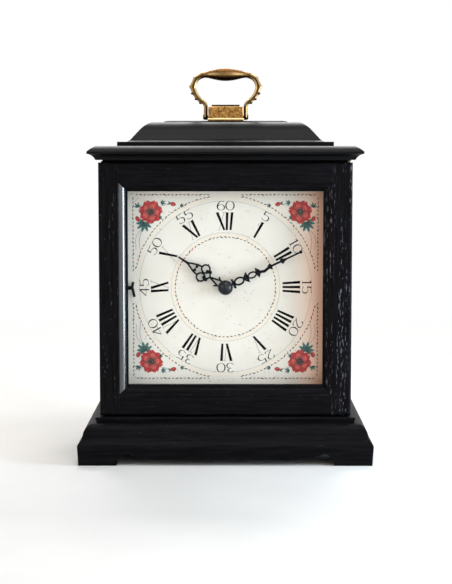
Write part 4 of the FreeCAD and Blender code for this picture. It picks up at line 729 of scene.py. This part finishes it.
def hour_numerals():
    """Roman numerals round the hour ring, heads outwards, with hairline serifs on every stroke's ends.

    Every stroke fans out with the distance from the dial's middle, in place and width, so stems are radial.
    """
    paths, widths = [], []
    for place, word in enumerate(HOUR_NUMERALS):
        x = -sum(NUMERAL_STEP[letter] for letter in word) / 2
        strokes = []
        for letter in word:
            strokes += numeral_strokes(letter, x)
            x += NUMERAL_STEP[letter]
        ends = dict.fromkeys(end for stroke in strokes for end in stroke[:2])
        for foot_x, foot_z in ends:
            strokes.append(((foot_x - SERIF_HALF, foot_z), (foot_x + SERIF_HALF, foot_z), SERIF))
        for start, end, width in strokes:
            line = np.array([start, end])
            fan = (NUMERAL_FOOT + line[:, 1]) / (NUMERAL_FOOT + NUMERAL_HEIGHT / 2)
            line[:, 0] *= fan
            paths.append(on_dial(line, NUMERAL_FOOT, 30.0 * place))
            widths.append(width * fan)
    return ribbons(np.array(paths), np.array(widths))


def ring_lines():
    """Two thin circles, one outside the minutes and one inside the hours."""
    angle = np.linspace(0.0, 2 * np.pi, RING_POINTS)
    unit = np.stack([np.sin(angle), np.cos(angle)], 1)
    return ribbons(np.stack([MINUTE_RING * unit, HOUR_RING * unit]), np.full((2, RING_POINTS), RING_WIDTH))


VINE_PITCH = 3.5
LEAF_POINTS = 6
LEAF_TILT = 0.30
LEAF_BOW = 0.45
LEAF_TIP = 0.08
CORNER_SIGNS = ((-1, -1), (-1, 1), (1, -1), (1, 1))


def vine_middles():
    """Places and directions of the small leaves of the dashed borders, evenly spaced along each line.

    One ring lies inside the hours. In each corner two straight lines run out, and an arc joins their ends.
    """
    count = int(2 * np.pi * VINE_RING / VINE_PITCH)
    angle = np.arange(count) * 2 * np.pi / count
    places = [np.stack([VINE_RING * np.sin(angle), VINE_RING * np.cos(angle)], 1)]
    heads = [np.stack([np.cos(angle), -np.sin(angle)], 1)]
    reach = np.arange(BORDER_GAP, BORDER_HALF, VINE_PITCH)
    start = math.asin(BORDER_GAP / BORDER_ARC)
    arc = np.arange(start, np.pi / 2 - start, VINE_PITCH / BORDER_ARC)
    edge = np.full_like(reach, BORDER_HALF)
    none, one = np.zeros_like(reach), np.ones_like(reach)
    lines = ((np.stack([reach, edge], 1), np.stack([one, none], 1)),
             (np.stack([edge, reach], 1), np.stack([none, one], 1)),
             (BORDER_ARC * np.stack([np.sin(arc), np.cos(arc)], 1), np.stack([np.cos(arc), -np.sin(arc)], 1)))
    for signs in CORNER_SIGNS:
        for line, head in lines:
            places.append(line * signs)
            heads.append(head * signs)
    return np.vstack(places), np.vstack(heads)


def vine_leaves(start, length, width):
    """Every third leaf from a start: a lens along the line, tilted to either side in turn, and bowed."""
    places, heads = vine_middles()
    places, heads = places[start::3], heads[start::3]
    chance = np.random.default_rng(start)
    lean = np.where(np.arange(len(places)) % 2, LEAF_TILT, -LEAF_TILT)
    tilt = (lean * chance.uniform(0.5, 1.6, len(places)))[:, None]
    length = length * chance.uniform(0.75, 1.2, len(places))[:, None, None]
    side = np.stack([-heads[:, 1], heads[:, 0]], 1)
    along_leaf = heads + tilt * side
    t = np.linspace(-0.5, 0.5, LEAF_POINTS)
    bow = LEAF_BOW * (0.25 - t ** 2)
    paths = (places[:, None] + length * t[:, None] * along_leaf[:, None]
             + np.sign(tilt)[:, None] * bow[None, :, None] * side[:, None])
    return ribbons(paths, np.broadcast_to(LEAF_TIP + width * np.cos(np.pi * t), paths.shape[:2]))


# Corner flowers: one spray, mirrored into the four corners

PAINT_STEP = 0.012
PAINT_THICKNESS = 0.16
RED_DEEP = np.array(linear(92, 10, 18))
RED_MIDDLE = np.array(linear(190, 32, 38))
RED_PALE = np.array(linear(220, 84, 78))
EYE_DARK = np.array(linear(34, 22, 24))
EYE_GOLD = np.array(linear(150, 92, 60))
TEAL_DEEP = np.array(linear(10, 62, 66))
TEAL_PALE = np.array(linear(44, 116, 110))
STEM_GREY = np.array(linear(78, 92, 84))
LEAF_TONES = (TEAL_DEEP, TEAL_PALE)
PETAL_GRID = (11, 9)
DISC_GRID = (5, 20)
STEM_POINTS = 13

# Rings of petals: count, first angle, length, width, lowest layer, tip colour and notch
PETAL_RINGS = ((7, 14, 10.6, 9.2, 1, RED_MIDDLE, 0.14), (5, 40, 7.4, 7.0, 5, RED_PALE, 0.10))
EYE_RADIUS = 2.9
EYE_LAYER = 9
DOTS = 8
DOT_RING = 3.5
DOT_RADIUS = 0.32

# Places of the spray in the corner at right and top, in millimetres from the dial's middle
FLOWER = (66.0, 66.5)
FAN = (72.5, 53.5)

# Stems: start, bend, end and width
STEMS = ((FLOWER, (56.0, 72.0), (45.0, 73.5), 0.3), (FAN, (76.0, 42.0), (75.0, 30.0), 0.26),
         (FAN, (79.0, 44.0), (79.0, 33.0), 0.22), (FLOWER, (71.0, 59.0), FAN, 0.3))

# Leaf fans: root, middle direction, count, spread in degrees, and a leaf's length and width
LEAF_FANS = (((71.6, 56.8), 285.0, 7, 215.0, 8.2, 2.6), ((57.0, 74.4), 172.0, 4, 95.0, 4.6, 1.2),
             ((77.2, 70.5), 75.0, 4, 120.0, 4.6, 1.4), ((58.5, 62.0), 215.0, 3, 80.0, 3.6, 1.2),
             ((40.0, 72.2), 185.0, 4, 90.0, 3.8, 1.0))

# Buds: root, direction, and the angles of the sepals from it
BUDS = (((48.6, 74.0), 195.0, (150.0, 210.0)), ((78.6, 62.6), 245.0, ()))


def shaded(share, dark, pale):
    """Colours between two, by a share at every point."""
    return dark + np.clip(share, 0, 1)[..., None] * (pale - dark)


def painted(x, z, layer):
    """Points on the dial, where each layer of paint lies one step in front of the last."""
    return np.stack([x, np.full_like(x, INK_FRONT - layer * PAINT_STEP), z], -1).reshape(-1, 3)


def petal(centre, degrees, length, width, layer, colours, notch=0.0):
    """A flat petal or leaf as a grid: t runs out along it and v across it.

    Its half width follows the sine of t to a power under one, so the end is full, and a notch draws the
    middle of the end in. The colour goes from the first at the root to the last at the tip, darker towards
    both sides.
    """
    rows, columns = PETAL_GRID
    t, v = np.meshgrid(np.linspace(0.0, 1.0, rows), np.linspace(-1.0, 1.0, columns), indexing="ij")
    half = 0.5 * width * (0.04 + 0.96 * np.sin(np.pi * (0.06 + 0.90 * t)) ** 0.7)
    out = length * t * (1 - notch * np.exp(-(v / 0.3) ** 2) * t ** 4)
    angle = math.radians(degrees)
    x = centre[0] + out * math.cos(angle) - v * half * math.sin(angle)
    z = centre[1] + out * math.sin(angle) + v * half * math.cos(angle)
    tone = shaded(1.25 * t - 0.45 * v ** 4 - 0.10, *colours).reshape(-1, 4)
    return painted(x, z, layer), grid_faces(rows, columns), tone


def disc(centre, radius, layer, colours):
    """A flat round spot as a grid of radius and angle, shaded from its middle to its rim."""
    rings, spokes = DISC_GRID
    angle = np.linspace(0, 2 * np.pi, spokes, endpoint=False)
    t, turn = np.meshgrid(np.linspace(0.02, 1.0, rings), angle, indexing="ij")
    x = centre[0] + radius * t * np.cos(turn)
    z = centre[1] + radius * t * np.sin(turn)
    faces = grid_faces(rings, spokes, close_columns=True)
    return painted(x, z, layer), faces, shaded(t, *colours).reshape(-1, 4)


def stem(knots, width):
    """A thin painted line through the knots, as a flat strip in the lowest layer."""
    path = smooth_line(knots, STEM_POINTS)
    side = left_of(path) * width / 2
    strip = np.stack([path - side, path + side], 1)
    tone = np.tile(STEM_GREY, (2 * STEM_POINTS, 1))
    return painted(strip[..., 0], strip[..., 1], 0), grid_faces(STEM_POINTS, 2), tone


def blossom(centre):
    """A rosette: an outer ring of notched petals, a shorter inner ring, and a dark eye with gold dots.

    Neighbours lie in two layers by turns, and the last petal of a ring lies over both.
    """
    parts = []
    for count, first, length, width, lowest, tip, notch in PETAL_RINGS:
        for index in range(count):
            layer = lowest + index % 2 + 2 * (index == count - 1)
            degrees = index * 360 / count + first
            parts.append(petal(centre, degrees, length, width, layer, (RED_DEEP, tip), notch))
    parts.append(disc(centre, EYE_RADIUS, EYE_LAYER, (EYE_DARK, EYE_DARK)))
    for index in range(DOTS):
        angle = index * 2 * np.pi / DOTS
        spot = (centre[0] + DOT_RING * math.cos(angle), centre[1] + DOT_RING * math.sin(angle))
        parts.append(disc(spot, DOT_RADIUS, EYE_LAYER + 1, (EYE_GOLD, EYE_DARK)))
    return parts


def leaf_fan(centre, middle, count, spread, length, width):
    """Leaves that spread like a fan from one point, the middle ones longest."""
    parts = []
    for index in range(count):
        offset = index / (count - 1) - 0.5
        reach = length * (1 - 1.1 * offset ** 2)
        parts.append(petal(centre, middle + spread * offset, reach, width, 1 + index % 2, LEAF_TONES))
    return parts


def bud(centre, degrees, sepals):
    """A closed red bud, with green sepals at its root, each turned by its own angle."""
    parts = [petal(centre, degrees + turn, 2.6, 1.1, 1, LEAF_TONES) for turn in sepals]
    parts.append(petal(centre, degrees, 5.0, 3.6, 2, (RED_DEEP, RED_MIDDLE)))
    parts.append(petal(centre, degrees + 8, 3.6, 1.6, 3, (RED_MIDDLE, RED_PALE)))
    return parts


def corner_spray():
    """One corner's flowers, drawn for the corner at right and top."""
    parts = [stem(knots, width) for *knots, width in STEMS]
    parts += blossom(FLOWER)
    for fan in LEAF_FANS:
        parts += leaf_fan(*fan)
    for place in BUDS:
        parts += bud(*place)
    return parts


def corner_flowers():
    """The spray in all four corners, with the colour of every point."""
    shapes, tones = [], []
    for points, faces, tone in corner_spray():
        for sign_x, sign_z in CORNER_SIGNS:
            shapes.append((points * (sign_x, 1.0, sign_z) + (0.0, 0.0, DIAL_Z), faces))
            tones.append(tone)
    return joined(shapes), np.vstack(tones)


# Dressing the CAD nodes

SIDE_GRAIN = ("base_left_rail", "base_right_rail")
UPRIGHT_GRAIN = ("case_left_side", "case_right_side", "rear_door_panel")

# The left stile's moulding beside the glass is burnished, between these places along X
BURNISHED_STRIP = (-92.6, -87.0)

WOOD_X = ebonised_wood("ebonised_wood_level", 0, 0.0, 0.34)
WOOD_Y = ebonised_wood("ebonised_wood_side", 1, 0.0, 0.34)
WOOD_Z = ebonised_wood("ebonised_wood_upright", 2, 0.5, 0.34)
WOOD_FLECKED = ebonised_wood("ebonised_wood_flecked", 2, 2.0, 0.30)
WOOD_BURNISHED = ebonised_wood("ebonised_wood_burnished", 2, 0.8, 0.32, BURNISHED_STRIP)
FINISHES = {
    "ebonised_wood": WOOD_X,
    "polished_ebonised_wood": polished_wood("polished_ebonised_wood"),
    "plain_wood": plain_wood("plain_wood"),
    "antique_brass": antique_brass("antique_brass", linear(112, 76, 36), linear(192, 146, 82),
                                   linear(248, 222, 164), bands=BLOCK_LIGHT_AND_SHADE),
    "clear_glass": clear_glass("clear_glass"),
    "painted_dial": painted_dial("painted_dial"),
    "blackened_steel": blackened_steel("blackened_steel", 0.32, 0.10, linear(9, 9, 11), linear(18, 18, 22)),
    "movement_brass": movement_metal("movement_brass", linear(184, 144, 78), linear(218, 180, 108),
                                     0.22, 0.02),
    "bright_steel": movement_metal("bright_steel", linear(150, 150, 152), linear(205, 206, 208), 0.20, 0.02),
    "grey_iron": movement_metal("grey_iron", linear(86, 84, 82), linear(122, 121, 120), 0.48, 0.12),
}
CAST_BRASS = antique_brass("cast_brass", linear(76, 51, 27), linear(124, 88, 48), linear(212, 184, 130),
                           mottling=0.6, masked=True)
PIN_BRASS = antique_brass("pin_brass", linear(66, 44, 24), linear(126, 92, 52), linear(180, 146, 96))
# Brass darkened as painted shade, for the door's pivot pins and sockets
PAINTED_SHADE_BRASS = antique_brass("painted_shade_brass", linear(24, 18, 12), linear(52, 40, 26), linear(70, 54, 34))
NUT_BLACK = blackened_steel("polished_black_steel", 0.08, 0.30, linear(18, 19, 26), linear(28, 30, 40))


def dress(node, material):
    slots = NODES[node].data.materials
    slots.clear()
    slots.append(material)


OWN_FINISH = {
    "door_left_stile": WOOD_BURNISHED,
    "door_right_stile": WOOD_FLECKED,
    "door_pivot_pins": PAINTED_SHADE_BRASS,
    "pivot_sockets": PAINTED_SHADE_BRASS,
    "handle_pivots": PIN_BRASS,
    "hand_nut": NUT_BLACK,
    "bell_cap": WOOD_X,
}
for entry in frame["record"]["subparts"]:
    node = entry["node"]
    material = FINISHES[entry["material_slot"]]
    if node in SIDE_GRAIN:
        material = WOOD_Y
    elif node in UPRIGHT_GRAIN:
        material = WOOD_Z
    material = OWN_FINISH.get(node, material)
    dress(node, material)

cast = Bail()
bail = piece("handle_bail_cast", cast.shape(), "handle", CAST_BRASS,
             smooth=True, colours=cast.wear())
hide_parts("handle_bail")

BLACK_INK = ink("black_ink", linear(9, 8, 9), linear(24, 21, 22))
GREY_INK = ink("grey_ink", linear(150, 148, 140), linear(178, 175, 165))
OLIVE_INK = ink("olive_ink", linear(70, 57, 40), linear(132, 112, 78))
RED_INK = ink("red_ink", linear(166, 82, 64), linear(196, 132, 104))
piece("dial_hour_numerals", hour_numerals(), "case", BLACK_INK)
piece("dial_minute_figures", minute_figures(), "case", BLACK_INK)
piece("dial_ring_lines", ring_lines(), "case", GREY_INK)
dark_leaves = joined([vine_leaves(0, 3.1, 0.95), vine_leaves(2, 2.5, 0.75)])
piece("dial_vine_dark", dark_leaves, "case", OLIVE_INK)
piece("dial_vine_red", vine_leaves(1, 2.6, 0.85), "case", RED_INK)
flower_shape, flower_tones = corner_flowers()
flowers = piece("dial_corner_flowers", flower_shape, "case", brush_paint("brush_paint"),
                colours=flower_tones)
thickness = flowers.modifiers.new("paint_thickness", "SOLIDIFY")
thickness.thickness = PAINT_THICKNESS * MM
thickness.offset = 0.0

# Floor, light and camera, in metres

FLOOR_HALF = 6.0
FLOOR_LINES = 9
FADE_START = 0.30
FADE_END = 1.2
SEEN_RAYS = ("Is Camera Ray", "Is Glossy Ray", "Is Transmission Ray")


def where_seen(tree):
    """1 for light that shows the backdrop itself: straight to the camera, off a mirror or through glass."""
    path = tree.nodes.new("ShaderNodeLightPath")
    straight, mirrored, through = (Socket(tree, path.outputs[name]) for name in SEEN_RAYS)
    return (straight + mirrored + through).step(0.0, 1.0)


def pale_floor():
    """A wide level floor, pale and slightly mottled, that passes into the white backdrop far out."""
    pale, paler = linear(212, 210, 207), linear(217, 215, 212)
    floor = Finish("pale_floor")
    x, y, _ = floor.axes(floor.place)
    far = ((x * x + y * y) ** 0.5).step(FADE_START, FADE_END)
    cloud = floor.noise(9.0, 3.0)
    floor.set("Base Color", floor.blend(cloud.step(0.3, 0.7), pale, paler))
    floor.set("Roughness", 0.75 + 0.1 * cloud)
    share = far * where_seen(floor.tree)
    white = floor.node("ShaderNodeEmission", values={"Color": (1, 1, 1, 1), "Strength": 1.0})
    lit = Socket(floor.tree, floor.shader.outputs[0])
    mixed = floor.node("ShaderNodeMixShader", values={0: share, 1: lit, 2: white})
    connect(floor.tree, floor.tree.nodes["Material Output"].inputs["Surface"], mixed)
    return floor.material


def stage_floor():
    across = np.linspace(-FLOOR_HALF, FLOOR_HALF, FLOOR_LINES)
    x, y = np.meshgrid(across, across, indexing="ij")
    points = np.stack([x, y, np.zeros_like(x)], -1).reshape(-1, 3)
    mesh = bpy.data.meshes.new("floor")
    faces = [face[::-1] for face in grid_faces(FLOOR_LINES, FLOOR_LINES)]
    mesh.from_pydata(points.tolist(), [], faces)
    mesh.materials.append(pale_floor())
    made = bpy.data.objects.new("floor", mesh)
    bpy.context.scene.collection.objects.link(made)


def white_world(light):
    """White where it is seen, and a plain soft light on everything else."""
    world = bpy.data.worlds.new("studio")
    bpy.context.scene.world = world
    world.use_nodes = True
    tree = world.node_tree
    backdrop = tree.nodes["Background"]
    connect(tree, backdrop.inputs["Strength"], light + (1.0 - light) * where_seen(tree))
    connect(tree, backdrop.inputs["Color"], (1.0, 1.0, 1.0, 1.0))


def soft_lamp(name, place, aim, size, power, colour):
    data = bpy.data.lights.new(name, "AREA")
    data.shape = "RECTANGLE"
    data.size, data.size_y = size
    data.energy = power
    data.color = colour
    lamp = bpy.data.objects.new(name, data)
    lamp.location = place
    lamp.rotation_euler = (Vector(aim) - Vector(place)).to_track_quat("-Z", "Y").to_euler()
    bpy.context.scene.collection.objects.link(lamp)


WORLD_LIGHT = 0.29
MIDDLE = (0.0, 0.0, 0.17)

# Lamps: name, place, aim and size in metres, power and colour. The window lamp shines on the left moulding.
LAMPS = (
    ("key", (0.75, -1.45, 0.85), MIDDLE, (0.9, 1.3), 7.0, (1.0, 0.97, 0.93)),
    ("fill", (-1.40, -1.20, 0.70), MIDDLE, (1.0, 1.2), 7.4, (1.0, 0.94, 0.88)),
    ("top", (0.0, 1.05, 1.40), MIDDLE, (1.2, 0.6), 25.0, (1.0, 1.0, 1.0)),
    ("sky", (0.0, -0.40, 1.55), MIDDLE, (1.0, 0.5), 9.0, (1.0, 0.98, 0.94)),
    ("window", (0.64, -0.19, 0.21), (-0.09, -0.06, 0.15), (0.44, 0.40), 9.0, (0.70, 0.85, 1.0)),
)
stage_floor()
white_world(WORLD_LIGHT)
for lamp in LAMPS:
    soft_lamp(*lamp)

# The frame is 452 by 584, and the long side is the sensor's width
FRAME_HEIGHT = 584.0
FOCAL_PIXELS = 1474.0
SENSOR = 36.0
CAMERA_PLACE = (0.005, -1.3455, 0.270)
CAMERA_PITCH = 5.36
CAMERA_YAW = 0.20
camera_data = bpy.data.cameras.new("camera")
camera_data.sensor_width = SENSOR
camera_data.lens = SENSOR * FOCAL_PIXELS / FRAME_HEIGHT
camera_data.clip_start = 0.05
camera = bpy.data.objects.new("camera", camera_data)
camera.location = CAMERA_PLACE
camera.rotation_euler = Euler((math.radians(90.0 - CAMERA_PITCH), 0.0, math.radians(CAMERA_YAW)))
bpy.context.scene.collection.objects.link(camera)
bpy.context.scene.camera = camera
bpy.context.scene.view_settings.view_transform = "Standard"
